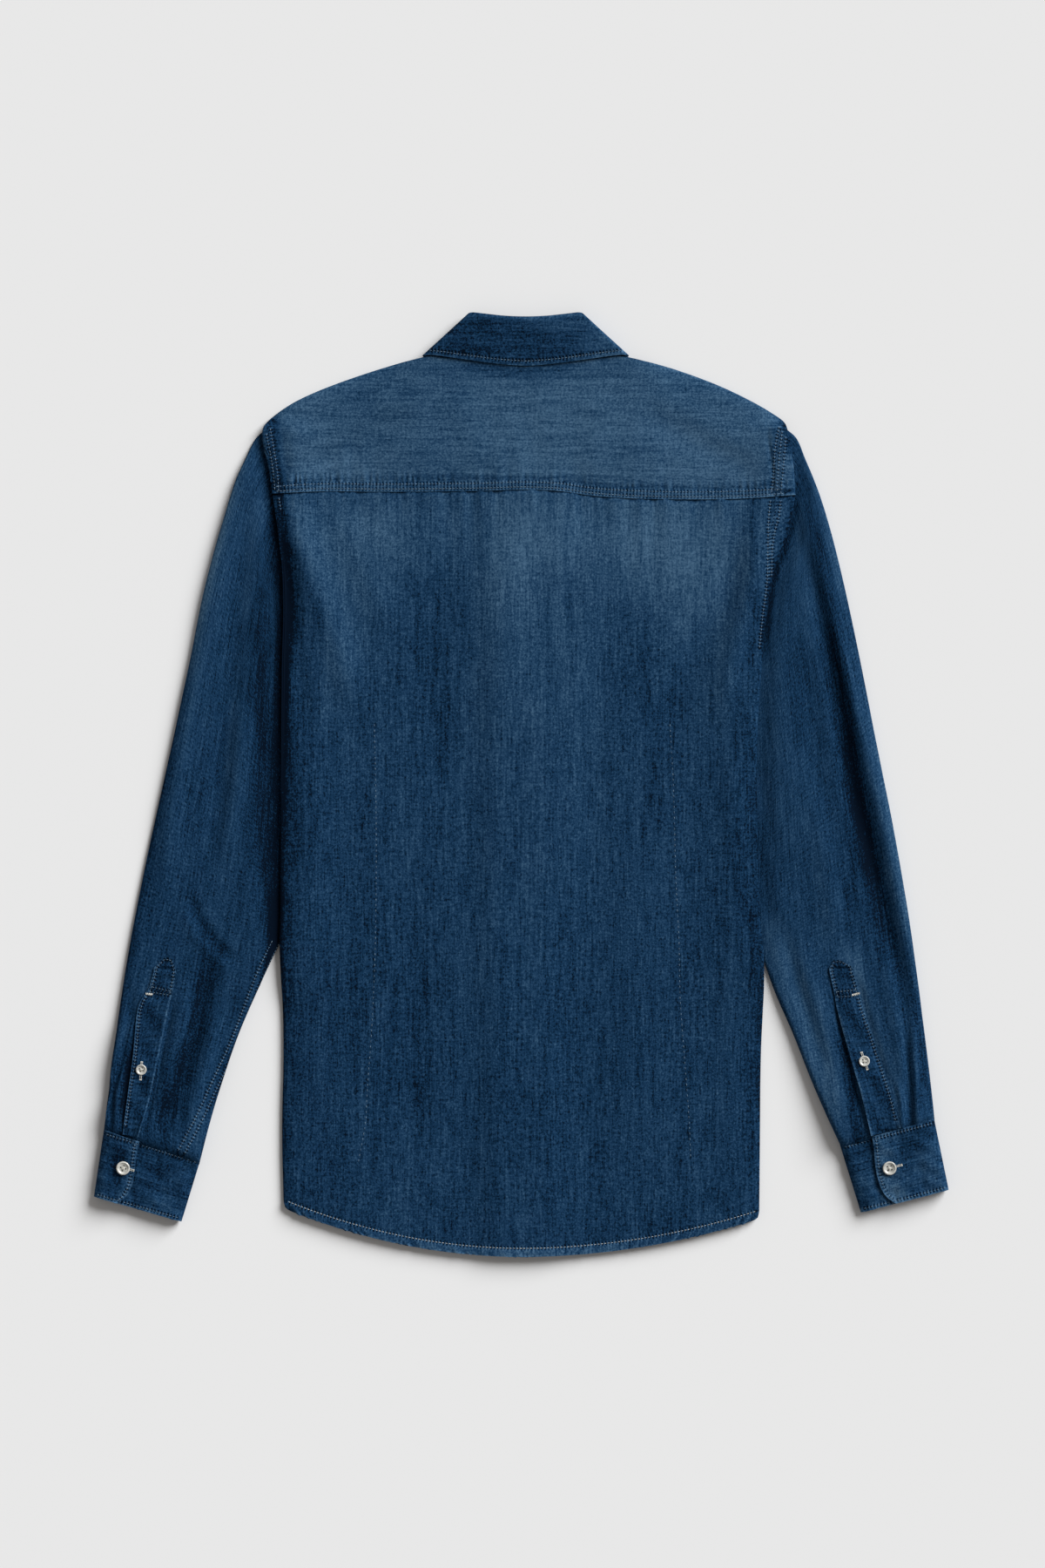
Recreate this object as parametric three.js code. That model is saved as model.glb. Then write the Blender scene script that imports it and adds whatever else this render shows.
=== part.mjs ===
// A man's long-sleeved denim shirt, laid flat on its front with the back up.
// Millimetres. +Z is up, +Y runs towards the collar and +X to the right seen from above.
// The origin is at the middle of the shirt, on the surface that it lies on.
// Every panel is a thin cloth wall. The wearer's left side is at -X.

import * as THREE from "three";

// Cloth
const CLOTH = 1.2;
const STIFF_CLOTH = 1.8;
const SEAM_GAP = 0.4;
const YOKE_GAP = 0.72;
const LAYER_GAP = 0.4;
const HEM_WIDTH = 7;
const HEM_RELIEF = 0.5;

// Heights of the body as it lies
const BODY_HEIGHT = 6.1;
const CENTRE_CROWN = 2.9;
const NECK_CROWN = 2.4;
const SIDE_CROWN = 2.6;
const TUCK_LIFT = 3.8;
const TUCK_HEIGHT = 3.2;
const TUCK_END_Y = -190;
const TUCK_FULL_Y = -145;
const ROUNDING = 18;
const CURL = 5;

// Body lengths
const SEAM_Y = 240;
const UNDERARM_Y = 116;
const BACK_HEM = { centreY: -389.9, leftRise: 40.3, rightRise: 31.5, at: 197.3 };
const FRONT_HEM = { centreY: -370, rise: 31, at: 186 };

// Neck, collar and front opening
const CENTRE_X = 3.6;
const BACK_NECK_Y = 350;
const NECK_POINT = { out: 79.6, y: 353.4 };
const NECK_LIP = 2.4;
const COLLAR_LIFT = 2.2;
const PLACKET = { width: 32, face: 2.8, top: 281 };
const LEFT_FRONT_RISE = 4.4;
const RIGHT_FRONT_RISE = 6.0;
const RISE_FROM = 19;
const RISE_TO = 46;

// Buttons
const SHIRT_BUTTON = { radius: 5.7, thickness: 2.2 };
const SMALL_BUTTON = { radius: 4.5, thickness: 2.0 };
const FRONT_BUTTONS = { firstY: 262, pitch: 91, count: 7 };
const BUTTON_SEGMENTS = 18;

// The body's plan at y: x of its left and right edges, and of the side seams underneath.
const BODY_SIDES = [
  { y: -350, left: -196.3, right: 196.6, leftSeam: -184.0, rightSeam: 184.0 },
  { y: -288, left: -197.7, right: 197.2, leftSeam: -185.0, rightSeam: 185.0 },
  { y: -216, left: -196.5, right: 198.0, leftSeam: -184.0, rightSeam: 185.0 },
  { y: -172, left: -197.7, right: 200.0, leftSeam: -184.0, rightSeam: 186.0 },
  { y: -144, left: -199.6, right: 200.8, leftSeam: -183.0, rightSeam: 185.0 },
  { y: -108, left: -199.0, right: 197.5, leftSeam: -180.0, rightSeam: 182.0 },
  { y: -36, left: -198.4, right: 195.2, leftSeam: -172.0, rightSeam: 174.0 },
  { y: 30, left: -198.2, right: 194.4, leftSeam: -166.5, rightSeam: 168.0 },
  { y: 101, left: -197.6, right: 198.7, leftSeam: -163.5, rightSeam: 164.5 },
  { y: 144, left: -196.6, right: 202.8, leftSeam: -163.5, rightSeam: 164.5 },
  { y: 180, left: -197.8, right: 210.0, leftSeam: -163.5, rightSeam: 164.5 },
  { y: 206, left: -200.8, right: 219.6, leftSeam: -163.5, rightSeam: 164.5 },
  { y: 240, left: -205.7, right: 226.4, leftSeam: -163.5, rightSeam: 164.5 },
  { y: 262, left: -209.0, right: 225.0, leftSeam: -172.0, rightSeam: 174.0 },
  { y: 284, left: -213.4, right: 221.8, leftSeam: -191.5, rightSeam: 194.5 },
];

// The seam between the back and the yoke.
const YOKE_SEAM = [
  { x: -206, y: 240.0 },
  { x: -175, y: 242.3 },
  { x: -106, y: 242.3 },
  { x: -27, y: 243.2 },
  { x: 1, y: 244.0 },
  { x: 30, y: 243.0 },
  { x: 59, y: 239.1 },
  { x: 89, y: 237.0 },
  { x: 133, y: 236.0 },
  { x: 177, y: 236.5 },
  { x: 228, y: 239.0 },
];

// The yoke's outer edge from the yoke seam round the shoulder tip to the neck, as a share of the way.
// footX is where the line drawn inwards meets the yoke seam, and end is where the yoke ends underneath.
const LEFT_SHOULDER = [
  { share: 0.0, x: -205.7, y: 240.2, footX: -180, endX: -200.7, endY: 240.2 },
  { share: 0.12, x: -209.0, y: 262.0, footX: -176, endX: -204.2, endY: 261.0 },
  { share: 0.22, x: -213.4, y: 282.0, footX: -171, endX: -208.6, endY: 280.0 },
  { share: 0.3, x: -213.5, y: 294.0, footX: -166, endX: -207.0, endY: 290.5 },
  { share: 0.38, x: -205.5, y: 303.4, footX: -159, endX: -194.0, endY: 289.0 },
  { share: 0.5, x: -184.8, y: 317.2, footX: -145, endX: -174.0, endY: 295.0 },
  { share: 0.66, x: -150.9, y: 331.6, footX: -120, endX: -142.0, endY: 308.0 },
  { share: 0.84, x: -110.6, y: 345.0, footX: -94, endX: -104.0, endY: 324.0 },
  { share: 0.92, x: -94.0, y: 349.6, footX: -83, endX: -90.0, endY: 336.0 },
];
const RIGHT_SHOULDER = [
  { share: 0.0, x: 226.4, y: 239.2, footX: 198, endX: 221.4, endY: 239.2 },
  { share: 0.12, x: 225.0, y: 262.0, footX: 192, endX: 220.0, endY: 261.0 },
  { share: 0.22, x: 221.8, y: 284.0, footX: 184, endX: 216.8, endY: 282.0 },
  { share: 0.3, x: 218.6, y: 297.0, footX: 175, endX: 212.5, endY: 292.0 },
  { share: 0.38, x: 211.0, y: 304.2, footX: 168, endX: 199.0, endY: 290.0 },
  { share: 0.5, x: 188.9, y: 317.2, footX: 152, endX: 178.0, endY: 296.0 },
  { share: 0.66, x: 158.0, y: 331.6, footX: 127, endX: 149.0, endY: 308.0 },
  { share: 0.84, x: 119.8, y: 345.0, footX: 101, endX: 112.0, endY: 324.0 },
  { share: 0.92, x: 102.0, y: 349.6, footX: 90, endX: 97.6, endY: 336.0 },
];

// The front neckline, outwards from the centre front.
const FRONT_NECK = [
  { out: 0, y: 281.6 },
  { out: 16, y: 283.0 },
  { out: 34, y: 289.0 },
  { out: 52, y: 301.0 },
  { out: 68, y: 319.6 },
  { out: 79, y: 345.0 },
];

// Sleeve stations from the armhole to the cuff seam: the outer and inner edge in plan, and the height.
const LEFT_SLEEVE = [
  { share: 0.0, outerX: -208.0, outerY: 288.0, innerX: -165.2, innerY: 117.7, height: 5.4 },
  { share: 0.03, outerX: -222.0, outerY: 278.0, innerX: -166.8, innerY: 108.7, height: 5.8 },
  { share: 0.06, outerX: -232.3, outerY: 259.6, innerX: -168.0, innerY: 99.7, height: 6.2 },
  { share: 0.13, outerX: -243.8, outerY: 223.6, innerX: -169.8, innerY: 79.6, height: 6.3 },
  { share: 0.24, outerX: -260.6, outerY: 162.4, innerX: -173.2, innerY: 36.4, height: 6.3 },
  { share: 0.37, outerX: -276.9, outerY: 86.8, innerX: -177.6, innerY: -14.0, height: 6.3 },
  { share: 0.49, outerX: -292.8, outerY: 14.8, innerX: -182.6, innerY: -60.8, height: 6.3 },
  { share: 0.61, outerX: -308.6, outerY: -57.2, innerX: -190.5, innerY: -107.6, height: 6.3 },
  { share: 0.72, outerX: -321.6, outerY: -122.0, innerX: -207.1, innerY: -146.5, height: 6.6 },
  { share: 0.8, outerX: -329.5, outerY: -168.8, innerX: -228.7, innerY: -194.0, height: 7.6 },
  { share: 0.88, outerX: -336.0, outerY: -215.6, innerX: -245.2, innerY: -240.1, height: 9.6 },
  { share: 0.945, outerX: -340.3, outerY: -251.6, innerX: -256.3, innerY: -276.2, height: 11.8 },
  { share: 1.0, outerX: -344.6, outerY: -284.6, innerX: -265.0, innerY: -309.8, height: 13.2 },
];
const RIGHT_SLEEVE = [
  { share: 0.0, outerX: 214.0, outerY: 290.0, innerX: 166.0, innerY: 117.7, height: 5.4 },
  { share: 0.03, outerX: 229.0, outerY: 278.0, innerX: 167.6, innerY: 108.7, height: 5.8 },
  { share: 0.06, outerX: 238.6, outerY: 259.6, innerX: 168.8, innerY: 99.7, height: 6.2 },
  { share: 0.13, outerX: 251.6, outerY: 223.6, innerX: 171.2, innerY: 76.0, height: 6.3 },
  { share: 0.24, outerX: 266.6, outerY: 165.4, innerX: 174.5, innerY: 29.2, height: 6.3 },
  { share: 0.37, outerX: 283.2, outerY: 86.8, innerX: 180.3, innerY: -24.8, height: 6.3 },
  { share: 0.49, outerX: 296.9, outerY: 14.8, innerX: 186.0, innerY: -71.6, height: 6.3 },
  { share: 0.61, outerX: 309.9, outerY: -57.2, innerX: 193.2, innerY: -118.4, height: 6.3 },
  { share: 0.72, outerX: 320.7, outerY: -125.6, innerX: 206.5, innerY: -163.8, height: 6.6 },
  { share: 0.8, outerX: 328.6, outerY: -172.4, innerX: 220.6, innerY: -196.2, height: 7.6 },
  { share: 0.88, outerX: 334.4, outerY: -215.6, innerX: 235.7, innerY: -235.1, height: 9.6 },
  { share: 0.945, outerX: 338.7, outerY: -251.6, innerX: 250.8, innerY: -270.4, height: 11.8 },
  { share: 1.0, outerX: 341.2, outerY: -275.6, innerX: 263.0, innerY: -297.0, height: 13.2 },
];

// Where each sleeve meets the body, from the underarm to the shoulder tip: over is tucked below the
// edge of the back, under runs along the armhole of the front.
const LEFT_ARMHOLE = [
  { share: 0.0, overX: -165.2, overY: 117.7, underX: -165.2, underY: 117.7 },
  { share: 0.12, overX: -176.5, overY: 128.0, underX: -164.4, underY: 134.0 },
  { share: 0.3, overX: -187.0, overY: 156.0, underX: -164.2, underY: 168.0 },
  { share: 0.55, overX: -195.8, overY: 200.0, underX: -164.2, underY: 216.0 },
  { share: 0.75, overX: -202.4, overY: 238.0, underX: -167.6, underY: 248.0 },
  { share: 0.9, overX: -206.0, overY: 268.0, underX: -184.0, underY: 273.0 },
  { share: 1.0, overX: -208.0, overY: 288.0, underX: -208.0, underY: 288.0 },
];
const RIGHT_ARMHOLE = [
  { share: 0.0, overX: 166.0, overY: 117.7, underX: 166.0, underY: 117.7 },
  { share: 0.12, overX: 178.0, overY: 128.0, underX: 165.6, underY: 134.0 },
  { share: 0.3, overX: 191.5, overY: 156.0, underX: 165.2, underY: 168.0 },
  { share: 0.55, overX: 211.5, overY: 202.0, underX: 165.2, underY: 216.0 },
  { share: 0.75, overX: 219.6, overY: 238.0, underX: 169.0, underY: 248.0 },
  { share: 0.9, overX: 218.6, overY: 268.0, underX: 186.0, underY: 273.0 },
  { share: 1.0, overX: 214.0, overY: 290.0, underX: 214.0, underY: 290.0 },
];
const ARMHOLE_BLEND = 0.2;

// Cuffs: the corners in plan, the height, and the free end of the flap from the seam to the edge.
const LEFT_CUFF = {
  seamOuter: { x: -344.8, y: -285.2 },
  seamInner: { x: -265.2, y: -310.4 },
  edgeOuter: { x: -353.0, y: -340.1 },
  edgeInner: { x: -280.7, y: -360.9 },
  flap: [
    { share: 0.0, across: 0.373 },
    { share: 0.15, across: 0.37 },
    { share: 0.45, across: 0.385 },
    { share: 0.7, across: 0.385 },
    { share: 0.88, across: 0.345 },
    { share: 1.0, across: 0.27 },
  ],
  buttonX: -328.5,
  buttonY: -316.4,
};
const RIGHT_CUFF = {
  seamOuter: { x: 341.0, y: -276.2 },
  seamInner: { x: 263.2, y: -297.6 },
  edgeOuter: { x: 353.0, y: -334.5 },
  edgeInner: { x: 280.5, y: -353.4 },
  flap: [
    { share: 0.0, across: 0.66 },
    { share: 0.15, across: 0.675 },
    { share: 0.45, across: 0.715 },
    { share: 0.7, across: 0.72 },
    { share: 0.88, across: 0.68 },
    { share: 1.0, across: 0.6 },
  ],
  buttonX: 303.8,
  buttonY: -316.4,
};
const CUFF_HEIGHT = { seam: 12.8, edge: 12.0 };
const UNDERLAP = 0.26;

// Sleeve plackets, from the point to the cuff seam: both edges in plan.
const LEFT_PLACKET = [
  { ax: -296.6, ay: -142.8, bx: -289.0, by: -142.8 },
  { ax: -303.4, ay: -151.4, bx: -285.4, by: -153.6 },
  { ax: -306.6, ay: -168.0, bx: -288.6, by: -173.4 },
  { ax: -317.2, ay: -186.2, bx: -290.2, by: -180.0 },
  { ax: -322.2, ay: -223.6, bx: -298.6, by: -223.6 },
  { ax: -324.4, ay: -254.0, bx: -309.4, by: -259.4 },
  { ax: -326.0, ay: -284.4, bx: -317.4, by: -284.4 },
];
const RIGHT_PLACKET = [
  { ax: 256.6, ay: -144.8, bx: 264.2, by: -144.8 },
  { ax: 254.4, ay: -151.4, bx: 273.2, by: -151.4 },
  { ax: 258.6, ay: -175.0, bx: 278.8, by: -172.6 },
  { ax: 261.4, ay: -188.0, bx: 283.4, by: -188.0 },
  { ax: 273.2, ay: -230.4, bx: 296.4, by: -226.0 },
  { ax: 281.6, ay: -258.0, bx: 306.0, by: -258.0 },
  { ax: 287.4, ay: -281.0, bx: 311.0, by: -279.0 },
];
const LEFT_PLACKET_BUTTON = { x: -313.6, y: -235.2 };
const RIGHT_PLACKET_BUTTON = { x: 283.0, y: -228.3 };

// The collar from the centre back round one side to the centre front, in distances out from the middle.
// side is 1 on top, 0 at the fold between the back and the front, and -1 underneath.
const COLLAR = [
  {
    share: 0.0, rollOut: 0, rollY: 386.4, edgeOut: 0, edgeY: 345.6,
    standOut: 0, standY: 382.8, neckOut: 0, neckY: 350.4, side: 1,
  },
  {
    share: 0.1, rollOut: 17, rollY: 387.0, edgeOut: 26, edgeY: 347.6,
    standOut: 17, standY: 383.4, neckOut: 24, neckY: 350.8, side: 1,
  },
  {
    share: 0.2, rollOut: 34, rollY: 388.8, edgeOut: 54, edgeY: 351.4,
    standOut: 33.2, standY: 385.0, neckOut: 48, neckY: 352.0, side: 1,
  },
  {
    share: 0.28, rollOut: 43, rollY: 389.8, edgeOut: 76, edgeY: 354.4,
    standOut: 41, standY: 385.4, neckOut: 68, neckY: 353.4, side: 1,
  },
  {
    share: 0.31, rollOut: 46.4, rollY: 389.4, edgeOut: 83, edgeY: 354.8,
    standOut: 44.6, standY: 385.2, neckOut: 75, neckY: 354.4, side: 0.8,
  },
  {
    share: 0.33, rollOut: 47.6, rollY: 388.4, edgeOut: 85.2, edgeY: 354.2,
    standOut: 46.4, standY: 384.0, neckOut: 77, neckY: 354.6, side: 0,
  },
  {
    share: 0.35, rollOut: 46.4, rollY: 386.4, edgeOut: 83.6, edgeY: 351.6,
    standOut: 47.2, standY: 382.4, neckOut: 75.6, neckY: 352.0, side: -0.8,
  },
  {
    share: 0.38, rollOut: 43, rollY: 381.0, edgeOut: 80, edgeY: 344.0,
    standOut: 45.4, standY: 377.8, neckOut: 72, neckY: 345.4, side: -1,
  },
  {
    share: 0.5, rollOut: 34, rollY: 358.0, edgeOut: 70, edgeY: 314.0,
    standOut: 35.8, standY: 355.4, neckOut: 64, neckY: 316.2, side: -1,
  },
  {
    share: 0.68, rollOut: 22, rollY: 333.0, edgeOut: 59, edgeY: 282.0,
    standOut: 23.8, standY: 330.2, neckOut: 44, neckY: 296.2, side: -1,
  },
  {
    share: 0.84, rollOut: 12, rollY: 319.0, edgeOut: 51, edgeY: 259.0,
    standOut: 14.5, standY: 312.5, neckOut: 25, neckY: 286.0, side: -1,
  },
  {
    share: 1.0, rollOut: 3, rollY: 312.0, edgeOut: 45, edgeY: 246.0,
    standOut: 3.4, standY: 300.0, neckOut: 4, neckY: 282.6, side: -1,
  },
];
const COLLAR_TOP = 11.4;
const STAND_TOP = 9.2;
const STAND_FRONT = 2.2;
const STAND_OVERLAP = { lift: 2.2, width: 14 };
const COLLAR_BUTTON = { radius: 5.0, thickness: 1.8, y: 291 };

const DENIM = new THREE.MeshStandardMaterial({ color: 0x2b5079, roughness: 0.9, metalness: 0, name: "denim" });
const PEARL = new THREE.MeshStandardMaterial({ color: 0xe4e2da, roughness: 0.35, metalness: 0, name: "button" });

const point = (x, y, z) => new THREE.Vector3(x, y, z);
const lerp = (a, b, t) => a + (b - a) * t;

function smooth(from, to, value) {
  const t = Math.min(Math.max((value - from) / (to - from), 0), 1);
  return t * t * (3 - 2 * t);
}

// A named column of a table at any key between its rows, along a smooth curve through them.
function readTable(table, key, at, name) {
  const last = table.length - 1;
  if (at <= table[0][key]) return table[0][name];
  if (at >= table[last][key]) return table[last][name];
  let i = 0;
  while (at > table[i + 1][key]) i += 1;
  const slope = (a, b) => (table[b][name] - table[a][name]) / (table[b][key] - table[a][key]);
  const step = table[i + 1][key] - table[i][key];
  const middle = slope(i, i + 1);
  const before = i > 0 ? (slope(i - 1, i) + middle) / 2 : middle;
  const after = i + 1 < last ? (middle + slope(i + 1, i + 2)) / 2 : middle;
  const t = (at - table[i][key]) / step;
  const t2 = t * t;
  const t3 = t2 * t;
  const start = (2 * t3 - 3 * t2 + 1) * table[i][name] + (t3 - 2 * t2 + t) * step * before;
  return start + (3 * t2 - 2 * t3) * table[i + 1][name] + (t3 - t2) * step * after;
}

// The outward normal of a grid of points at one of them.
function normalAt(rows, i, j, ring) {
  const across = rows[i].length;
  const left = ring ? (j + across - 1) % across : Math.max(j - 1, 0);
  const right = ring ? (j + 1) % across : Math.min(j + 1, across - 1);
  const up = Math.min(i + 1, rows.length - 1);
  const down = Math.max(i - 1, 0);
  const along = rows[i][right].clone().sub(rows[i][j]).normalize();
  const back = rows[i][j].clone().sub(rows[i][left]).normalize();
  const tangent = along.add(back);
  const rise = rows[up][j].clone().sub(rows[down][j]);
  return tangent.cross(rise).normalize();
}

// A closed wall: the grid is its outer face, and the inner face lies one thickness behind it.
function wall(rows, thickness, ring = false) {
  const down = rows.length;
  const across = rows[0].length;
  const positions = [];
  const inner = (i, j) => rows[i][j].clone().addScaledVector(normalAt(rows, i, j, ring), -thickness);
  for (let i = 0; i < down; i += 1) {
    for (let j = 0; j < across; j += 1) positions.push(...rows[i][j].toArray());
  }
  for (let i = 0; i < down; i += 1) {
    for (let j = 0; j < across; j += 1) positions.push(...inner(i, j).toArray());
  }
  const out = (i, j) => i * across + (j % across);
  const into = (i, j) => down * across + out(i, j);
  const index = [];
  const quad = (a, b, c, d) => index.push(a, b, c, a, c, d);
  const spans = ring ? across : across - 1;
  for (let i = 0; i < down - 1; i += 1) {
    for (let j = 0; j < spans; j += 1) {
      quad(out(i, j), out(i, j + 1), out(i + 1, j + 1), out(i + 1, j));
      quad(into(i, j), into(i + 1, j), into(i + 1, j + 1), into(i, j + 1));
    }
  }
  for (let j = 0; j < spans; j += 1) {
    quad(out(0, j), into(0, j), into(0, j + 1), out(0, j + 1));
    quad(out(down - 1, j), out(down - 1, j + 1), into(down - 1, j + 1), into(down - 1, j));
  }
  if (!ring) {
    for (let i = 0; i < down - 1; i += 1) {
      quad(out(i, 0), out(i + 1, 0), into(i + 1, 0), into(i, 0));
      quad(out(i, across - 1), into(i, across - 1), into(i + 1, across - 1), out(i + 1, across - 1));
    }
  }
  const geometry = new THREE.BufferGeometry();
  geometry.setAttribute("position", new THREE.Float32BufferAttribute(positions, 3));
  geometry.setIndex(index);
  geometry.computeVertexNormals();
  return geometry;
}

const shirt = new THREE.Group();

function add(name, geometry, material = DENIM) {
  const mesh = new THREE.Mesh(geometry, material);
  mesh.name = name;
  shirt.add(mesh);
  return mesh;
}

// How high a folded edge stands at a distance in from it, as a share of the full height.
function roundedTop(inset, reach = ROUNDING) {
  const t = Math.min(Math.max(inset / reach, 0), 1);
  return 0.5 + 0.5 * Math.sqrt(1 - (1 - t) * (1 - t));
}
function roundedFoot(inset) {
  return 0.5 * (1 - smooth(-0.8, 2.4, inset)) / (1 - smooth(-0.8, 2.4, 0));
}

// Share of the full lift that the edges of the back take from the sleeves tucked below them.
function tuck(y) {
  return smooth(TUCK_END_Y, TUCK_FULL_Y, y) * (1 - smooth(293, 304, y));
}

function collarLift(x, y) {
  return COLLAR_LIFT * smooth(206, 236, y) * (1 - smooth(92, 118, Math.abs(x - CENTRE_X)));
}

function sideAt(y, name) {
  return readTable(BODY_SIDES, "y", y, name);
}

function yokeSeamY(x) {
  return readTable(YOKE_SEAM, "x", x, "y");
}

// Height of the back's outer face away from its edges.
function backTop(x, y) {
  const centre = CENTRE_CROWN * (1 - smooth(RISE_FROM, 50, Math.abs(x - CENTRE_X)));
  const inset = Math.min(x - sideAt(y, "left"), sideAt(y, "right") - x);
  const sides = SIDE_CROWN * tuck(y) * (1 - smooth(10, 58, inset));
  const neck = NECK_CROWN * smooth(225, 275, y) * (1 - smooth(88, 140, Math.abs(x - CENTRE_X)));
  return BODY_HEIGHT + Math.max(centre, sides, neck);
}

function backHemY(unfolded) {
  const share = unfolded / BACK_HEM.at;
  const rise = share < 0 ? BACK_HEM.leftRise : BACK_HEM.rightRise;
  return BACK_HEM.centreY + rise * share * share;
}

// Distances in from each side edge at which the back's points lie, the fold underneath first.
const UNDER_SHARES = [1, 0.55];
const FOLD_UNDER = [2.4, 0.8];
const FOLD_OVER = [0, 0.8, 2.6, 6.5, 12, 20];
const BACK_SPANS = 18;

// One row of the back, which wraps under at both sides. hemShare runs from the hem to the yoke seam.
function backRow(share, relief) {
  const nominalY = lerp(backHemY(-BACK_HEM.at), SEAM_Y, share);
  const row = [];
  const place = (x, unfolded, heightShare) => {
    const top = yokeSeamY(x) - SEAM_GAP;
    const y = lerp(backHemY(unfolded), top, share);
    const foot = TUCK_LIFT * tuck(y);
    const full = backTop(x, y) - foot;
    const lifted = heightShare > 0.5 ? relief : 0;
    row.push(point(x, y, foot + full * heightShare + lifted));
  };
  const left = sideAt(nominalY, "left");
  const right = sideAt(nominalY, "right");
  const open = smooth(UNDERARM_Y - 16, UNDERARM_Y + 78, nominalY);
  const leftEnd = lerp(sideAt(nominalY, "leftSeam") - SEAM_GAP / 2, left + CURL, open);
  const rightEnd = lerp(sideAt(nominalY, "rightSeam") + SEAM_GAP / 2, right - CURL, open);
  for (const s of UNDER_SHARES) place(lerp(left + 3, leftEnd, s), left - 6 - (leftEnd - left) * s, 0);
  for (const inset of FOLD_UNDER) place(left + inset, left - 4, roundedFoot(inset));
  for (const inset of FOLD_OVER) place(left + inset, left + inset, roundedTop(inset));
  for (let k = 1; k < BACK_SPANS; k += 1) {
    const x = lerp(left + 20, right - 20, k / BACK_SPANS);
    place(x, x, 1);
  }
  for (const inset of [...FOLD_OVER].reverse()) place(right - inset, right - inset, roundedTop(inset));
  for (const inset of [...FOLD_UNDER].reverse()) place(right - inset, right + 4, roundedFoot(inset));
  for (const s of [...UNDER_SHARES].reverse()) {
    place(lerp(right - 3, rightEnd, s), right + 6 + (right - rightEnd) * s, 0);
  }
  return row;
}

function backPanel() {
  const length = SEAM_Y - BACK_HEM.centreY - 20;
  const marks = [0, HEM_WIDTH - 0.4, HEM_WIDTH + 0.4, 24, 52, 84, 116, 146, 172, 196, 222, 256];
  marks.push(292, 330, 368, 406, 440, 466, 482, 500, 522, 548, 574, 594, length);
  return wall(marks.map((mark, i) => backRow(mark / length, i < 2 ? HEM_RELIEF : 0)), CLOTH);
}

// A line of the yoke from its seam over the top to where it ends. Its edge folds under at the
// shoulder, and turns down in a short lip at the neck, where folded is 0.
function yokeColumn(fold, foot, end, folded) {
  const reach = Math.hypot(fold.x - foot.x, fold.y - foot.y);
  const under = Math.hypot(end.x - fold.x, end.y - fold.y);
  const tops = [0, 0.2, 0.4, 0.6, 0.8, 1].map((share) => (reach - 20) * share);
  tops.push(reach - 12, reach - 6.5, reach - 2.6, reach - 0.8, reach);
  const seamClear = (x, y) => Math.max(y, yokeSeamY(x) + YOKE_GAP);
  const line = tops.map((along) => {
    const x = lerp(foot.x, fold.x, along / reach);
    const y = seamClear(x, lerp(foot.y, fold.y, along / reach));
    const low = footHeight(x, y);
    const share = lerp(1, roundedTop(reach - along), folded);
    return point(x, y, low + (backTop(x, y) - low) * share);
  });
  const top = backTop(fold.x, fold.y);
  const lip = [0.8, 1.6, NECK_LIP];
  [Math.min(0.8, under * 0.16), Math.min(2.4, under * 0.48), under].forEach((beyond, k) => {
    const t = under > 0 ? beyond / under : 0;
    const x = lerp(fold.x, end.x, t);
    const y = seamClear(x, lerp(fold.y, end.y, t));
    const low = footHeight(x, y);
    line.push(point(x, y, lerp(top - lip[k], low + (top - low) * roundedFoot(beyond), folded)));
  });
  return line;
}

// Height of the lowest layer of the body at its edges.
function footHeight(x, y) {
  const side = smooth(150, 190, Math.abs(x - CENTRE_X));
  return Math.max(TUCK_LIFT * tuck(y) * side, collarLift(x, y));
}

function shoulderColumns(table, shares) {
  return shares.map((share) => {
    const at = (name) => readTable(table, "share", share, name);
    const footX = at("footX");
    const foot = { x: footX, y: yokeSeamY(footX) + YOKE_GAP };
    const end = { x: at("endX"), y: at("endY") };
    return yokeColumn({ x: at("x"), y: at("y") }, foot, end, 1 - smooth(0.84, 1, share));
  });
}

function yoke() {
  const shares = [0, 0.06, 0.12, 0.18, 0.24, 0.3, 0.34, 0.38, 0.44, 0.5, 0.58, 0.66, 0.75, 0.84, 0.92];
  const columns = shoulderColumns(LEFT_SHOULDER, shares);
  const neckSpans = 12;
  for (let k = 0; k <= neckSpans; k += 1) {
    const out = lerp(-NECK_POINT.out, NECK_POINT.out, k / neckSpans);
    const bend = (out / NECK_POINT.out) ** 2;
    const edge = { x: CENTRE_X + out, y: lerp(BACK_NECK_Y, NECK_POINT.y, bend) };
    const footX = CENTRE_X + out * 0.92;
    columns.push(yokeColumn(edge, { x: footX, y: yokeSeamY(footX) + YOKE_GAP }, edge, 0));
  }
  columns.push(...shoulderColumns(RIGHT_SHOULDER, shares).reverse());
  const rows = columns[0].map((_, i) => columns.map((column) => column[i]));
  return wall(rows, CLOTH);
}

// The top edge of the fronts: the yoke's end underneath, then the neckline.
function frontTopY(x, shoulder) {
  const outwards = Math.abs(x - CENTRE_X);
  const under = shoulder.slice(4).map((row) => ({ out: Math.abs(row.endX - CENTRE_X), y: row.endY }));
  const line = [...FRONT_NECK, ...under.reverse()];
  return readTable(line, "out", outwards, "y") - 2 * SEAM_GAP;
}

function frontHemY(x) {
  const share = (x - CENTRE_X) / FRONT_HEM.at;
  return FRONT_HEM.centreY + FRONT_HEM.rise * share * share;
}

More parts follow.
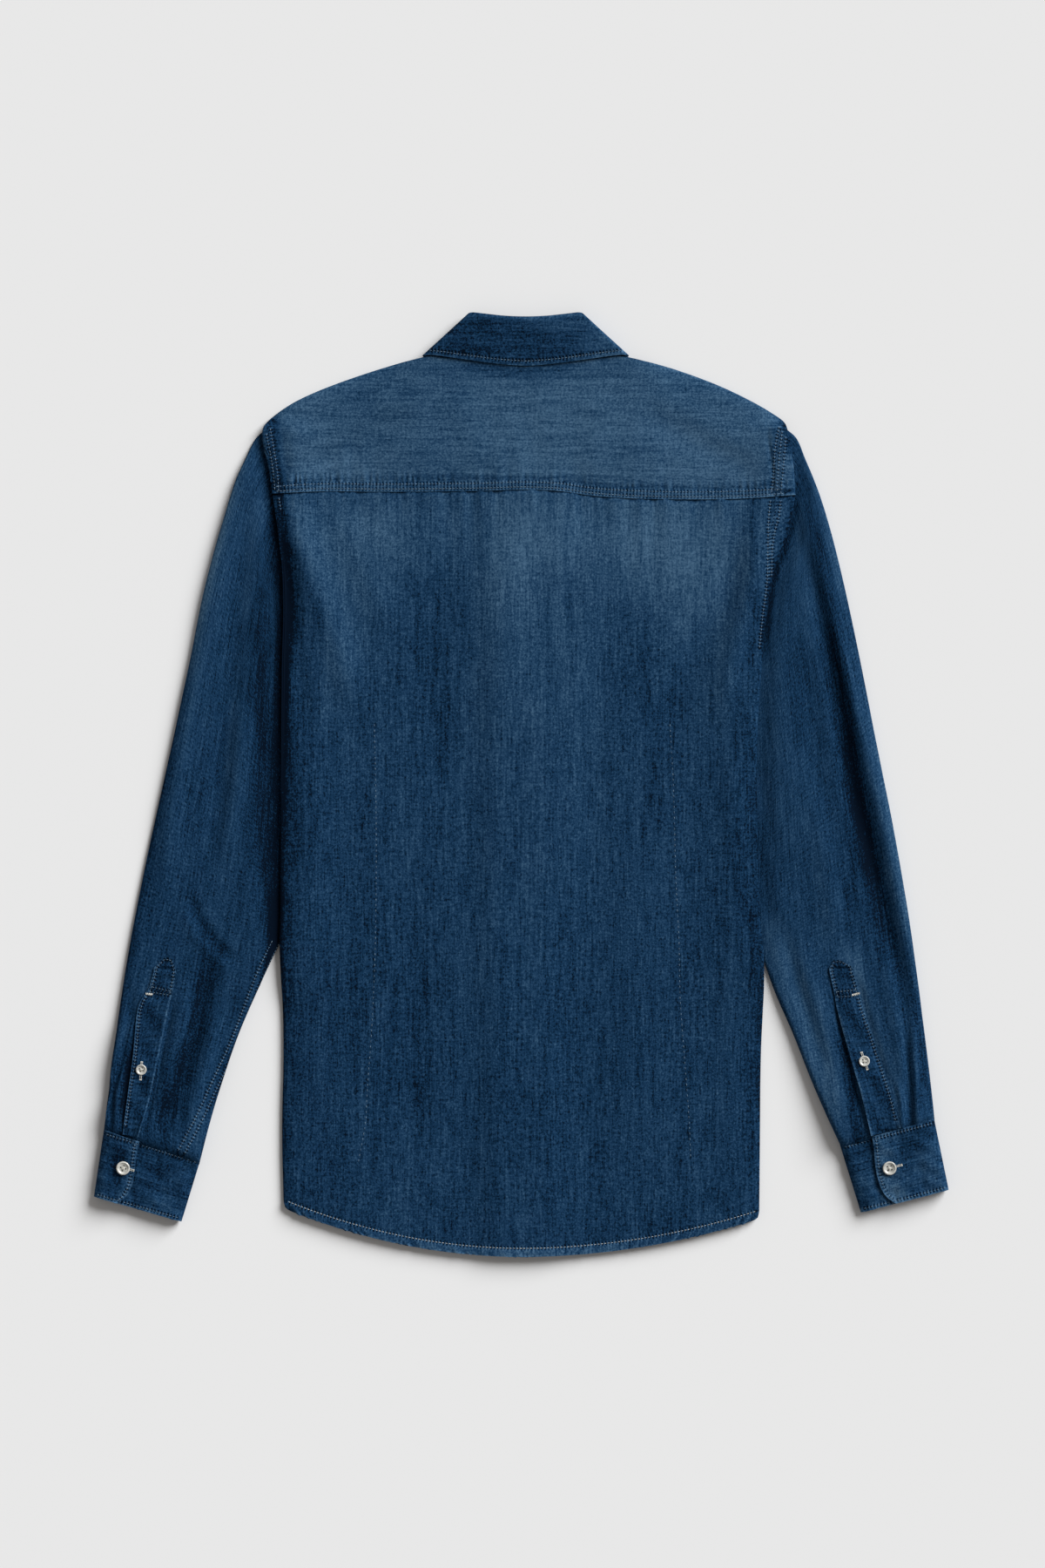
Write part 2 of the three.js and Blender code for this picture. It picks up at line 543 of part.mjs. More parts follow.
// Height of the outer face of a front, which lies face down.
function frontFace(x, y, seamX, rise) {
  const centre = rise * (1 - smooth(RISE_FROM, RISE_TO, Math.abs(x - CENTRE_X)));
  const lift = TUCK_LIFT * smooth(TUCK_END_Y, TUCK_FULL_Y, y) * (1 - smooth(98, 112, y));
  const armhole = (TUCK_LIFT - 0.6) * smooth(124, 150, y) * (1 - smooth(258, 280, y));
  const side = (lift + armhole) * (1 - smooth(0, 22, Math.abs(x - seamX)));
  return Math.max(centre, side, collarLift(x, y));
}

function front(sign, shoulder, seamName, rise) {
  const edgeX = CENTRE_X - sign * PLACKET.width / 2;
  const columns = [0, 0.05, 0.1, 0.16, 0.26, 0.4, 0.54, 0.64, 0.7, 0.76, 0.82, 0.88, 0.94, 1];
  const levels = [0, 0.05, 0.14, 0.23, 0.29, 0.34, 0.44, 0.54, 0.64, 0.71, 0.75, 0.79, 0.84, 0.89, 0.93, 0.97, 1];
  const cornerX = sideAt(284, seamName);
  const cornerY = frontTopY(cornerX, shoulder);
  const rows = levels.map((level) => columns.map((column) => {
    const sideY = lerp(frontHemY(sideAt(-340, seamName)), cornerY, level);
    const seamX = sideAt(Math.min(sideY, 284), seamName) - sign * SEAM_GAP / 2;
    const x = lerp(seamX, edgeX, column);
    const y = lerp(frontHemY(x), frontTopY(lerp(cornerX, edgeX, column), shoulder), level);
    return point(x, y, frontFace(x, y, seamX, rise));
  }));
  if (sign < 0) return wall(rows.map((row) => row.reverse()), CLOTH);
  return wall(rows, CLOTH);
}

function frontPlacket() {
  const rows = [];
  const spans = 10;
  for (let i = 0; i <= spans; i += 1) {
    const row = [];
    for (const side of [1, 0.5, 0, -0.5, -1]) {
      const x = CENTRE_X + side * PLACKET.width / 2;
      row.push(point(x, lerp(frontHemY(x), PLACKET.top, i / spans), PLACKET.face));
    }
    rows.push(row);
  }
  return wall(rows, CLOTH);
}

// Height of a sleeve's outer face away from its outer edge: low below the body, full outside it.
function sleeveTop(x, y, full, sideName) {
  const outside = Math.abs(x) - Math.abs(sideAt(y, sideName));
  return lerp(TUCK_HEIGHT, full, smooth(1, 17, outside));
}

const SLEEVE_OVER = 11;
const SLEEVE_UNDER = 5;

// One ring of a sleeve, from the inner edge over the top to the outer edge and back underneath.
function sleeveRing(table, armhole, share, sideName) {
  const at = (name) => readTable(table, "share", share, name);
  const inner = { x: at("innerX"), y: at("innerY") };
  const outer = { x: at("outerX"), y: at("outerY") };
  const width = Math.hypot(outer.x - inner.x, outer.y - inner.y);
  const blend = 1 - smooth(0, ARMHOLE_BLEND, share);
  const start = { x: armhole[0].overX, y: armhole[0].overY };
  const tip = { x: armhole[armhole.length - 1].overX, y: armhole[armhole.length - 1].overY };
  const plan = (along, layer) => {
    const s = along / width;
    const bendX = readTable(armhole, "share", s, `${layer}X`) - lerp(start.x, tip.x, s);
    const bendY = readTable(armhole, "share", s, `${layer}Y`) - lerp(start.y, tip.y, s);
    return { x: lerp(inner.x, outer.x, s) + bendX * blend, y: lerp(inner.y, outer.y, s) + bendY * blend };
  };
  const ring = [];
  const over = (along, share) => {
    const p = plan(along, "over");
    const tall = sleeveTop(p.x, p.y, at("height"), sideName) * share;
    ring.push(point(p.x, p.y, tall));
  };
  const under = (along, share) => {
    const p = plan(along, "under");
    const low = armholeLift(p.x, p.y, blend, sideName);
    ring.push(point(p.x, p.y, Math.max(low, TUCK_HEIGHT * share)));
  };
  over(0, 0.5);
  over(0.9, 0.84);
  over(3, 0.98);
  for (let k = 1; k <= SLEEVE_OVER; k += 1) over(lerp(3, width - 14, k / SLEEVE_OVER), 1);
  for (const inset of [6.5, 2.6, 0.8, 0]) over(width - inset, roundedTop(inset, 14));
  under(width - 1, 0.14);
  under(width - 3, 0);
  for (let k = 1; k <= SLEEVE_UNDER; k += 1) under(lerp(width - 3, 3, k / SLEEVE_UNDER), 0);
  under(0.9, 0.14);
  return ring;
}

// Lift of the sleeve's lower layer along the front's armhole.
function armholeLift(x, y, blend, sideName) {
  const seamX = sideAt(Math.min(y, 284), `${sideName}Seam`);
  const near = 1 - smooth(0, 22, Math.abs(Math.abs(x) - Math.abs(seamX)));
  return (TUCK_LIFT - 0.6) * smooth(124, 150, y) * (1 - smooth(258, 280, y)) * near * smooth(0.2, 0.9, blend);
}

function sleeve(table, armhole, sideName) {
  const shares = [0, 0.02, 0.045, 0.07, 0.1, 0.14, 0.19, 0.26, 0.34, 0.42, 0.5, 0.58, 0.66, 0.74, 0.82, 0.9, 0.95, 1];
  const rows = shares.map((share) => sleeveRing(table, armhole, share, sideName));
  if (sideName === "right") return wall(rows.map((row) => row.reverse()), CLOTH, true);
  return wall(rows, CLOTH, true);
}

// A cuff: one strip round the wrist, whose flap lies over its other end on top.
function cuff(shape, mirrored) {
  const rows = [0, 0.2, 0.45, 0.7, 0.88, 1].map((share) => {
    const outer = { x: lerp(shape.seamOuter.x, shape.edgeOuter.x, share), y: lerp(shape.seamOuter.y, shape.edgeOuter.y, share) };
    const inner = { x: lerp(shape.seamInner.x, shape.edgeInner.x, share), y: lerp(shape.seamInner.y, shape.edgeInner.y, share) };
    const width = Math.hypot(inner.x - outer.x, inner.y - outer.y);
    const top = lerp(CUFF_HEIGHT.seam, CUFF_HEIGHT.edge, share);
    const low = top - STIFF_CLOTH - LAYER_GAP;
    const end = readTable(shape.flap, "share", share, "across") * width;
    const row = [];
    const place = (across, z) => {
      const t = across / width;
      row.push(point(lerp(outer.x, inner.x, t), lerp(outer.y, inner.y, t), z));
    };
    for (const t of [1, 0.6, 0.25]) place(lerp(9, end, t), top);
    for (const inset of [6, 2.6, 0.8, 0]) place(inset, top * roundedTop(inset, 9));
    place(1.2, top * 0.14);
    for (const t of [0, 0.33, 0.67, 1]) place(lerp(4, width - 4, t), 0);
    place(width - 1.2, low * 0.14);
    for (const inset of [0, 0.8, 2.6, 6, 9]) place(width - inset, low * roundedTop(inset, 9));
    const stop = (readTable(shape.flap, "share", 1, "across") - UNDERLAP + 0.1) * width;
    for (const t of [0.3, 0.65, 1]) place(lerp(width - 9, Math.max(stop, 12), t), low);
    return row;
  });
  if (mirrored) return wall(rows.map((row) => row.reverse()), STIFF_CLOTH);
  return wall(rows, STIFF_CLOTH);
}

// The height at which a button sits on a cuff's flap.
function cuffTopAt(shape) {
  const span = shape.seamOuter.y - shape.edgeOuter.y;
  const share = (shape.seamOuter.y - shape.buttonY) / span;
  return lerp(CUFF_HEIGHT.seam, CUFF_HEIGHT.edge, share) + LAYER_GAP;
}

// A placket on the sleeve's upper face.
function sleevePlacket(edges, table, sideName) {
  const rows = edges.map((edge) => [0, 0.5, 1].map((t) => {
    const x = lerp(edge.ax, edge.bx, t);
    const y = lerp(edge.ay, edge.by, t);
    return point(x, y, sleeveHeightAt(table, x, y, sideName) + LAYER_GAP + CLOTH);
  }));
  return wall(rows.map((row) => row.reverse()), CLOTH);
}

// The height of a sleeve's upper face at a point seen from above.
function sleeveHeightAt(table, x, y, sideName) {
  let best = { distance: Infinity, share: 0 };
  for (let share = 0.5; share <= 1.0001; share += 0.01) {
    const at = (name) => readTable(table, "share", share, name);
    const dx = at("outerX") - at("innerX");
    const dy = at("outerY") - at("innerY");
    const distance = Math.abs((x - at("innerX")) * dy - (y - at("innerY")) * dx) / Math.hypot(dx, dy);
    if (distance < best.distance) best = { distance, share };
  }
  const at = (name) => readTable(table, "share", best.share, name);
  const inset = Math.hypot(x - at("outerX"), y - at("outerY"));
  return sleeveTop(x, y, at("height"), sideName) * roundedTop(inset, 14);
}

function collarAt(share, name) {
  return readTable(COLLAR, "share", Math.abs(share), name);
}

function collarShares() {
  const half = [0.1, 0.2, 0.28, 0.305, 0.32, 0.33, 0.34, 0.355, 0.38, 0.44, 0.5, 0.6, 0.7, 0.85, 1];
  return [...[...half].reverse().map((s) => -s), 0, ...half];
}

// Heights of the collar's outer face and of the stand inside it.
function collarLevel(share, top, bottom) {
  const side = Math.min(Math.max(collarAt(share, "side"), -1), 1);
  return lerp(bottom, top, (side + 1) / 2);
}

function collarPoint(share, t, z, inset = 0) {
  const sign = Math.sign(share) || 1;
  const roll = { out: collarAt(share, "rollOut"), y: collarAt(share, "rollY") };
  const edge = { out: collarAt(share, "edgeOut"), y: collarAt(share, "edgeY") };
  const out = Math.max(lerp(roll.out, edge.out, t) - inset, 0);
  return point(CENTRE_X + sign * out, lerp(roll.y, edge.y, t) - inset, z);
}

function collarLeaf() {
  const shares = collarShares();
  const rows = [
    shares.map((s) => collarPoint(s, 0, collarLevel(s, STAND_TOP - 1.6, STAND_FRONT + 1.4))),
    shares.map((s) => collarPoint(s, 0.008, collarLevel(s, COLLAR_TOP - 1.4, 1.4))),
    shares.map((s) => collarPoint(s, 0.06, collarLevel(s, COLLAR_TOP, 0))),
    ...[0.25, 0.5, 0.75, 1].map((t) => shares.map((s) => collarPoint(s, t, collarLevel(s, COLLAR_TOP, 0)))),
  ];
  return wall(rows.map((row) => row.reverse()), STIFF_CLOTH);
}

function collarStand() {
  const rows = [0, 0.5, 1].map((t) => collarShares().map((share) => {
    const sign = Math.sign(share) || 1;
    const end = smooth(0.84, 1, Math.abs(share));
    const clear = collarAt(share, "side") < 0 ? 2 * SEAM_GAP : SEAM_GAP;
    const out = lerp(collarAt(share, "neckOut"), collarAt(share, "standOut"), t);
    const y = lerp(collarAt(share, "neckY") + clear, collarAt(share, "standY"), t);
    const lift = sign > 0 ? STAND_OVERLAP.lift * smooth(0.7, 0.9, share) : 0;
    const x = CENTRE_X + sign * (out - STAND_OVERLAP.width * end);
    return point(x, y, collarLevel(share, STAND_TOP, STAND_FRONT) + lift);
  }));
  return wall(rows, STIFF_CLOTH);
}

function button(name, size, x, y, z) {
  const disc = new THREE.CylinderGeometry(size.radius, size.radius, size.thickness, BUTTON_SEGMENTS);
  const mesh = add(name, disc, PEARL);
  mesh.rotation.x = Math.PI / 2;
  mesh.position.set(x, y, z + size.thickness / 2);
}

add("back_panel", backPanel());
add("back_yoke", yoke());
add("front_left", front(-1, LEFT_SHOULDER, "leftSeam", LEFT_FRONT_RISE));
add("front_right", front(1, RIGHT_SHOULDER, "rightSeam", RIGHT_FRONT_RISE));
add("front_placket", frontPlacket());
add("sleeve_left", sleeve(LEFT_SLEEVE, LEFT_ARMHOLE, "left"));
add("sleeve_right", sleeve(RIGHT_SLEEVE, RIGHT_ARMHOLE, "right"));
add("cuff_left", cuff(LEFT_CUFF, false));
add("cuff_right", cuff(RIGHT_CUFF, true));
add("sleeve_placket_left", sleevePlacket(LEFT_PLACKET, LEFT_SLEEVE, "left"));
add("sleeve_placket_right", sleevePlacket(RIGHT_PLACKET, RIGHT_SLEEVE, "right"));
add("collar_leaf", collarLeaf());
add("collar_stand", collarStand());

button("cuff_button_left", SHIRT_BUTTON, LEFT_CUFF.buttonX, LEFT_CUFF.buttonY, cuffTopAt(LEFT_CUFF));
button("cuff_button_right", SHIRT_BUTTON, RIGHT_CUFF.buttonX, RIGHT_CUFF.buttonY, cuffTopAt(RIGHT_CUFF));
for (const [name, at, table, sideName] of [
  ["sleeve_button_left", LEFT_PLACKET_BUTTON, LEFT_SLEEVE, "left"],
  ["sleeve_button_right", RIGHT_PLACKET_BUTTON, RIGHT_SLEEVE, "right"],
]) {
  const seat = sleeveHeightAt(table, at.x, at.y, sideName) + LAYER_GAP + CLOTH + LAYER_GAP;
  button(name, SMALL_BUTTON, at.x, at.y, seat);
}
for (let k = 0; k < FRONT_BUTTONS.count; k += 1) {
  const y = FRONT_BUTTONS.firstY - k * FRONT_BUTTONS.pitch;
  const z = PLACKET.face - 0.3 - SHIRT_BUTTON.thickness;
  button(`front_button_${k + 1}`, SHIRT_BUTTON, CENTRE_X, y, z);
}
const collarButtonZ = STAND_FRONT - 0.2 - COLLAR_BUTTON.thickness;
button("collar_button", COLLAR_BUTTON, CENTRE_X, COLLAR_BUTTON.y, collarButtonZ);

export default shirt;
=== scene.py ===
import math

import bpy
import numpy as np
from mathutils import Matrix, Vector
from mathutils.bvhtree import BVHTree


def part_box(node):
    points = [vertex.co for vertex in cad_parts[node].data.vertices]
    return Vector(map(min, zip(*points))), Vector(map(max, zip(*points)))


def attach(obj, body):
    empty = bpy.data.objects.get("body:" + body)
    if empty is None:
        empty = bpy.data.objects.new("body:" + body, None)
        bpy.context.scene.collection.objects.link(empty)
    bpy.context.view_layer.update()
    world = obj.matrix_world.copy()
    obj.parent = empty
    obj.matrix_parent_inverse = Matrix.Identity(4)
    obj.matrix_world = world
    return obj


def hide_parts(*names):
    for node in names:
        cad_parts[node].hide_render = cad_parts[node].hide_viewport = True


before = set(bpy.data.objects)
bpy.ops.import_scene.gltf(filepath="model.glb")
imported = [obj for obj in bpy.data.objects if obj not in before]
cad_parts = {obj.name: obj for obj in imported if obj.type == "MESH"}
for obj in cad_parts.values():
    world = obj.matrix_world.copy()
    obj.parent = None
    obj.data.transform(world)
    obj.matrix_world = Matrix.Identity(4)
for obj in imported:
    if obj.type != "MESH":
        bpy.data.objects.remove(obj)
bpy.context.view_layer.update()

# A denim shirt laid flat on its front. Shapes are worked out in millimetres and stored in metres.
MM = 0.001

CLOTH = 1.0
STIFF_CLOTH = 1.5
SEAM_GAP = 0.4
HEM_WIDTH = 7

BODY_HEIGHT = 6.1
CENTRE_CROWN = 2.9
NECK_CROWN = 2.4
SIDE_CROWN = 2.6
TUCK_LIFT = 3.8
TUCK_HEIGHT = 3.2
TUCK_END_Y = -190
TUCK_FULL_Y = -145
ROUNDING = 18
CURL = 5

SEAM_Y = 240
UNDERARM_Y = 116
HEM_REACH = 197
BACK_HEM = {"centre": -389.9, "left_rise": 40.3, "right_rise": 31.5, "at": 197.3}
FRONT_HEM = (-370, 31, 186)

CENTRE_X = 3.6
BACK_NECK_Y = 350
NECK_POINT = (79.6, 353.4)
NECK_LIP = 2.4
COLLAR_LIFT = 2.2
PLACKET_WIDTH = 32
PLACKET_FACE = 2.8
PLACKET_TOP = 281
LEFT_FRONT_RISE = 4.4
RIGHT_FRONT_RISE = 6.0
RISE_FROM = 19
RISE_TO = 46


def hermite(t, step, start, end, slope_start, slope_end):
    t2, t3 = t * t, t * t * t
    head = (2 * t3 - 3 * t2 + 1) * start + (t3 - 2 * t2 + t) * step * slope_start
    return head + (3 * t2 - 2 * t3) * end + (t3 - t2) * step * slope_end


class Table:
    """Named columns read along a smooth curve through the rows of the first column."""

    def __init__(self, names, rows):
        self.names = names.split()
        self.rows = np.array(rows, float)

    def at(self, where, name):
        keys = self.rows[:, 0]
        values = self.rows[:, self.names.index(name)]
        step = np.diff(keys)
        slope = np.diff(values) / step
        tangent = np.concatenate([slope[:1], (slope[:-1] + slope[1:]) / 2, slope[-1:]])
        where = np.clip(np.asarray(where, float), keys[0], keys[-1])
        i = np.clip(np.searchsorted(keys, where, side="right") - 1, 0, len(step) - 1)
        t = (where - keys[i]) / step[i]
        return hermite(t, step[i], values[i], values[i + 1], tangent[i], tangent[i + 1])


BODY_SIDES = Table("y left right leftSeam rightSeam", [
    (-350, -196.3, 196.6, -184.0, 184.0),
    (-288, -197.7, 197.2, -185.0, 185.0),
    (-216, -196.5, 198.0, -184.0, 185.0),
    (-172, -197.7, 200.0, -184.0, 186.0),
    (-144, -199.6, 200.8, -183.0, 185.0),
    (-108, -199.0, 197.5, -180.0, 182.0),
    (-36, -198.4, 195.2, -172.0, 174.0),
    (30, -198.2, 194.4, -166.5, 168.0),
    (101, -197.6, 198.7, -163.5, 164.5),
    (144, -196.6, 202.8, -163.5, 164.5),
    (180, -197.8, 210.0, -163.5, 164.5),
    (206, -200.8, 219.6, -163.5, 164.5),
    (240, -205.7, 226.4, -163.5, 164.5),
    (262, -209.0, 225.0, -172.0, 174.0),
    (284, -213.4, 221.8, -191.5, 194.5),
])

YOKE_SEAM = Table("x y", [
    (-206, 240.0), (-175, 242.3), (-106, 242.3), (-27, 243.2), (1, 244.0), (30, 243.0),
    (59, 239.1), (89, 237.0), (133, 236.0), (177, 236.5), (228, 239.0),
])

LEFT_SHOULDER = Table("share x y footX endX endY", [
    (0.0, -205.7, 240.2, -180, -200.7, 240.2),
    (0.12, -209.0, 262.0, -176, -204.2, 261.0),
    (0.22, -213.4, 282.0, -171, -208.6, 280.0),
    (0.3, -213.5, 294.0, -166, -207.0, 290.5),
    (0.38, -205.5, 303.4, -159, -194.0, 289.0),
    (0.5, -184.8, 317.2, -145, -174.0, 295.0),
    (0.66, -150.9, 331.6, -120, -142.0, 308.0),
    (0.84, -110.6, 345.0, -94, -104.0, 324.0),
    (0.92, -94.0, 349.6, -83, -90.0, 336.0),
])
RIGHT_SHOULDER = Table("share x y footX endX endY", [
    (0.0, 226.4, 239.2, 198, 221.4, 239.2),
    (0.12, 225.0, 262.0, 192, 220.0, 261.0),
    (0.22, 221.8, 284.0, 184, 216.8, 282.0),
    (0.3, 218.6, 297.0, 175, 212.5, 292.0),
    (0.38, 211.0, 304.2, 168, 199.0, 290.0),
    (0.5, 188.9, 317.2, 152, 178.0, 296.0),
    (0.66, 158.0, 331.6, 127, 149.0, 308.0),
    (0.84, 119.8, 345.0, 101, 112.0, 324.0),
    (0.92, 102.0, 349.6, 90, 97.6, 336.0),
])
FRONT_NECK = [(0, 281.6), (16, 283.0), (34, 289.0), (52, 301.0), (68, 319.6), (79, 345.0)]

LEFT_SLEEVE = Table("share outerX outerY innerX innerY height", [
    (0.0, -208.0, 288.0, -165.2, 117.7, 5.4),
    (0.03, -222.0, 278.0, -166.8, 108.7, 5.8),
    (0.06, -232.3, 259.6, -168.0, 99.7, 6.2),
    (0.13, -243.8, 223.6, -169.8, 79.6, 6.3),
    (0.24, -260.6, 162.4, -173.2, 36.4, 6.3),
    (0.37, -276.9, 86.8, -177.6, -14.0, 6.3),
    (0.49, -292.8, 14.8, -182.6, -60.8, 6.3),
    (0.61, -308.6, -57.2, -190.5, -107.6, 6.3),
    (0.72, -321.6, -122.0, -207.1, -146.5, 6.6),
    (0.8, -329.5, -168.8, -228.7, -194.0, 7.6),
    (0.88, -336.0, -215.6, -245.2, -240.1, 9.6),
    (0.945, -340.3, -251.6, -256.3, -276.2, 11.8),
    (1.0, -344.6, -284.6, -265.0, -309.8, 13.2),
])
RIGHT_SLEEVE = Table("share outerX outerY innerX innerY height", [
    (0.0, 214.0, 290.0, 166.0, 117.7, 5.4),
    (0.03, 229.0, 278.0, 167.6, 108.7, 5.8),
    (0.06, 238.6, 259.6, 168.8, 99.7, 6.2),
    (0.13, 251.6, 223.6, 171.2, 76.0, 6.3),
    (0.24, 266.6, 165.4, 174.5, 29.2, 6.3),
    (0.37, 283.2, 86.8, 180.3, -24.8, 6.3),
    (0.49, 296.9, 14.8, 186.0, -71.6, 6.3),
    (0.61, 309.9, -57.2, 193.2, -118.4, 6.3),
    (0.72, 320.7, -125.6, 206.5, -163.8, 6.6),
    (0.8, 328.6, -172.4, 220.6, -196.2, 7.6),
    (0.88, 334.4, -215.6, 235.7, -235.1, 9.6),
    (0.945, 338.7, -251.6, 250.8, -270.4, 11.8),
    (1.0, 341.2, -275.6, 263.0, -297.0, 13.2),
])
LEFT_ARMHOLE = Table("share overX overY underX underY", [
    (0.0, -165.2, 117.7, -165.2, 117.7),
    (0.12, -176.5, 128.0, -164.4, 134.0),
    (0.3, -187.0, 156.0, -164.2, 168.0),
    (0.55, -195.8, 200.0, -164.2, 216.0),
    (0.75, -202.4, 238.0, -167.6, 248.0),
    (0.9, -206.0, 268.0, -184.0, 273.0),
    (1.0, -208.0, 288.0, -208.0, 288.0),
])
RIGHT_ARMHOLE = Table("share overX overY underX underY", [
    (0.0, 166.0, 117.7, 166.0, 117.7),
    (0.12, 178.0, 128.0, 165.6, 134.0),
    (0.3, 191.5, 156.0, 165.2, 168.0),
    (0.55, 211.5, 202.0, 165.2, 216.0),
    (0.75, 219.6, 238.0, 169.0, 248.0),
    (0.9, 218.6, 268.0, 186.0, 273.0),
    (1.0, 214.0, 290.0, 214.0, 290.0),
])
ARMHOLE_BLEND = 0.2

# Cuffs: outer and inner corners at the seam and at the edge, then the free end of the flap.
LEFT_CUFF = {
    "seam": ((-344.8, -285.2), (-265.2, -310.4)),
    "edge": ((-353.0, -340.1), (-280.7, -360.9)),
    "flap": Table("share across", [
        (0.0, 0.373), (0.15, 0.37), (0.45, 0.385), (0.7, 0.385), (0.88, 0.345), (1.0, 0.27),
    ]),
}
RIGHT_CUFF = {
    "seam": ((341.0, -276.2), (263.2, -297.6)),
    "edge": ((353.0, -334.5), (280.5, -353.4)),
    "flap": Table("share across", [
        (0.0, 0.66), (0.15, 0.675), (0.45, 0.715), (0.7, 0.72), (0.88, 0.68), (1.0, 0.6),
    ]),
}
CUFF_HEIGHT = (12.8, 12.0)
UNDERLAP = 0.26

LEFT_PLACKET = [
    (-293.6, -142.6, -289.4, -142.9),
    (-298.2, -146.8, -287.2, -148.2),
    (-302.8, -151.0, -285.2, -153.6),
    (-303.8, -155.6, -285.6, -158.4),
    (-307.6, -168.0, -288.2, -172.4),
    (-316.6, -185.0, -290.6, -182.0),
    (-320.4, -223.6, -299.4, -223.6),
    (-324.4, -254.0, -306.4, -257.4),
    (-328.8, -288.4, -316.0, -291.4),
]
RIGHT_PLACKET = [
    (258.2, -145.0, 262.2, -145.0),
    (256.2, -148.4, 268.4, -147.8),
    (254.4, -151.8, 273.4, -151.0),
    (254.8, -156.0, 274.2, -155.6),
    (258.6, -173.0, 278.8, -171.0),
    (261.4, -188.0, 283.4, -188.0),
    (273.2, -230.4, 296.4, -226.0),
    (281.6, -260.0, 306.0, -256.0),
    (288.4, -289.8, 312.6, -283.2),
]

COLLAR = Table("share rollOut rollY edgeOut edgeY standOut standY neckOut neckY side", [
    (0.0, 0, 386.4, 0, 345.6, 0, 382.8, 0, 350.4, 1),
    (0.1, 17, 387.0, 26, 347.6, 17, 383.4, 24, 350.8, 1),
    (0.2, 34, 388.8, 54, 351.4, 33.2, 385.0, 48, 352.0, 1),
    (0.28, 43, 389.8, 76, 354.4, 41, 385.4, 68, 353.4, 1),
    (0.31, 46.4, 389.4, 83, 354.8, 44.6, 385.2, 75, 354.4, 0.8),
    (0.33, 47.6, 388.4, 85.2, 354.2, 46.4, 384.0, 77, 354.6, 0),
    (0.35, 46.4, 386.4, 83.6, 351.6, 47.2, 382.4, 75.6, 352.0, -0.8),
    (0.38, 43, 381.0, 80, 344.0, 45.4, 377.8, 72, 345.4, -1),
    (0.5, 34, 358.0, 70, 314.0, 35.8, 355.4, 64, 316.2, -1),
    (0.68, 22, 333.0, 59, 282.0, 23.8, 330.2, 44, 296.2, -1),
    (0.84, 12, 319.0, 51, 259.0, 14.5, 312.5, 25, 286.0, -1),
    (1.0, 3, 312.0, 45, 246.0, 3.4, 300.0, 4, 282.6, -1),
])
COLLAR_TOP = 11.4
STAND_TOP = 9.2
STAND_FRONT = 2.2
STAND_OVERLAP = (2.2, 14)


def lerp(a, b, t):
    return a + (b - a) * t


def smooth(low, high, value):
    t = np.clip((np.asarray(value, float) - low) / (high - low), 0, 1)
    return t * t * (3 - 2 * t)


# ---------------------------------------------------------------- lines and folds

def along_line(x, y, line):
    """Signed distance from a line of points, positive to its left, and the share of the way along it."""
    line = np.asarray(line, float)
    lengths = np.hypot(*np.diff(line, axis=0).T)
    starts = np.concatenate([[0], np.cumsum(lengths)[:-1]])
    best = np.full(np.shape(x), 1e9)
    signed = np.zeros(np.shape(x))
    share = np.zeros(np.shape(x))
    for a, b, length, start in zip(line[:-1], line[1:], lengths, starts):
        d = (b - a) / length
        t = (x - a[0]) * d[0] + (y - a[1]) * d[1]
        off = (y - a[1]) * d[0] - (x - a[0]) * d[1]
        inside = np.clip(t, 0, length)
        distance = np.hypot(off, t - inside)
        nearer = distance < best
        best = np.where(nearer, distance, best)
        signed = np.where(nearer, np.where(off < 0, -distance, distance), signed)
        share = np.where(nearer, (start + inside) / lengths.sum(), share)
    return signed, share


def folds(x, y, table):
    """Soft ridges and troughs: height, half width, and the line that each follows."""
    total = np.zeros(np.shape(x))
    for height, width, line in table:
        distance, share = along_line(x, y, line)
        fade = smooth(0, 0.25, share) * smooth(0, 0.25, 1 - share)
        total += height * np.exp(-(distance / width) ** 2) * fade
    return total


def spots(x, y, table):
    """Soft patches: centre, half sizes and amount."""
    total = np.zeros(np.shape(x))
    for cx, cy, rx, ry, amount in table:
        total += amount * np.exp(-((x - cx) / rx) ** 2 - ((y - cy) / ry) ** 2)
    return total


def ripple(at, pitch, seed):
    """An uneven wave along a seam."""
    turn = 2 * math.pi / pitch
    wander = 1.5 * np.sin(at * turn / 4.3 + seed) + 0.8 * np.sin(at * turn / 2.3 + 2.1 * seed)
    strength = 0.65 + 0.35 * np.sin(at * turn / 5.9 + 1.7 * seed)
    return strength * np.sin(at * turn + wander)


# ---------------------------------------------------------------- shells

def refine_rows(grid, spacing, ring=False):
    """More points along each row, on smooth curves, about one spacing apart."""
    if ring:
        grid = np.concatenate([grid[:, -2:], grid, grid[:, :3]], axis=1)
    lengths = np.linalg.norm(np.diff(grid, axis=1), axis=2).mean(axis=0)
    lengths = np.maximum(lengths, 1e-3)
    keys = np.concatenate([[0], np.cumsum(lengths)])
    slope = np.diff(grid, axis=1) / lengths[None, :, None]
    chord = (grid[:, 2:] - grid[:, :-2]) / (lengths[:-1] + lengths[1:])[None, :, None]
    tangent = np.concatenate([slope[:, :1], chord, slope[:, -1:]], axis=1)
    first, last = (2, len(keys) - 4) if ring else (0, len(keys) - 2)
    segment, share = [], []
    for i in range(first, last + 1):
        count = max(1, math.ceil(lengths[i] / spacing))
        segment += [i] * count
        share += [k / count for k in range(count)]
    if not ring:
        segment.append(last)
        share.append(1.0)
    i = np.array(segment)
    t = np.array(share)[None, :, None]
    step = lengths[i][None, :, None]
    points = hermite(t, step, grid[:, i], grid[:, i + 1], tangent[:, i], tangent[:, i + 1])
    return points, i + t[0, :, 0] - first


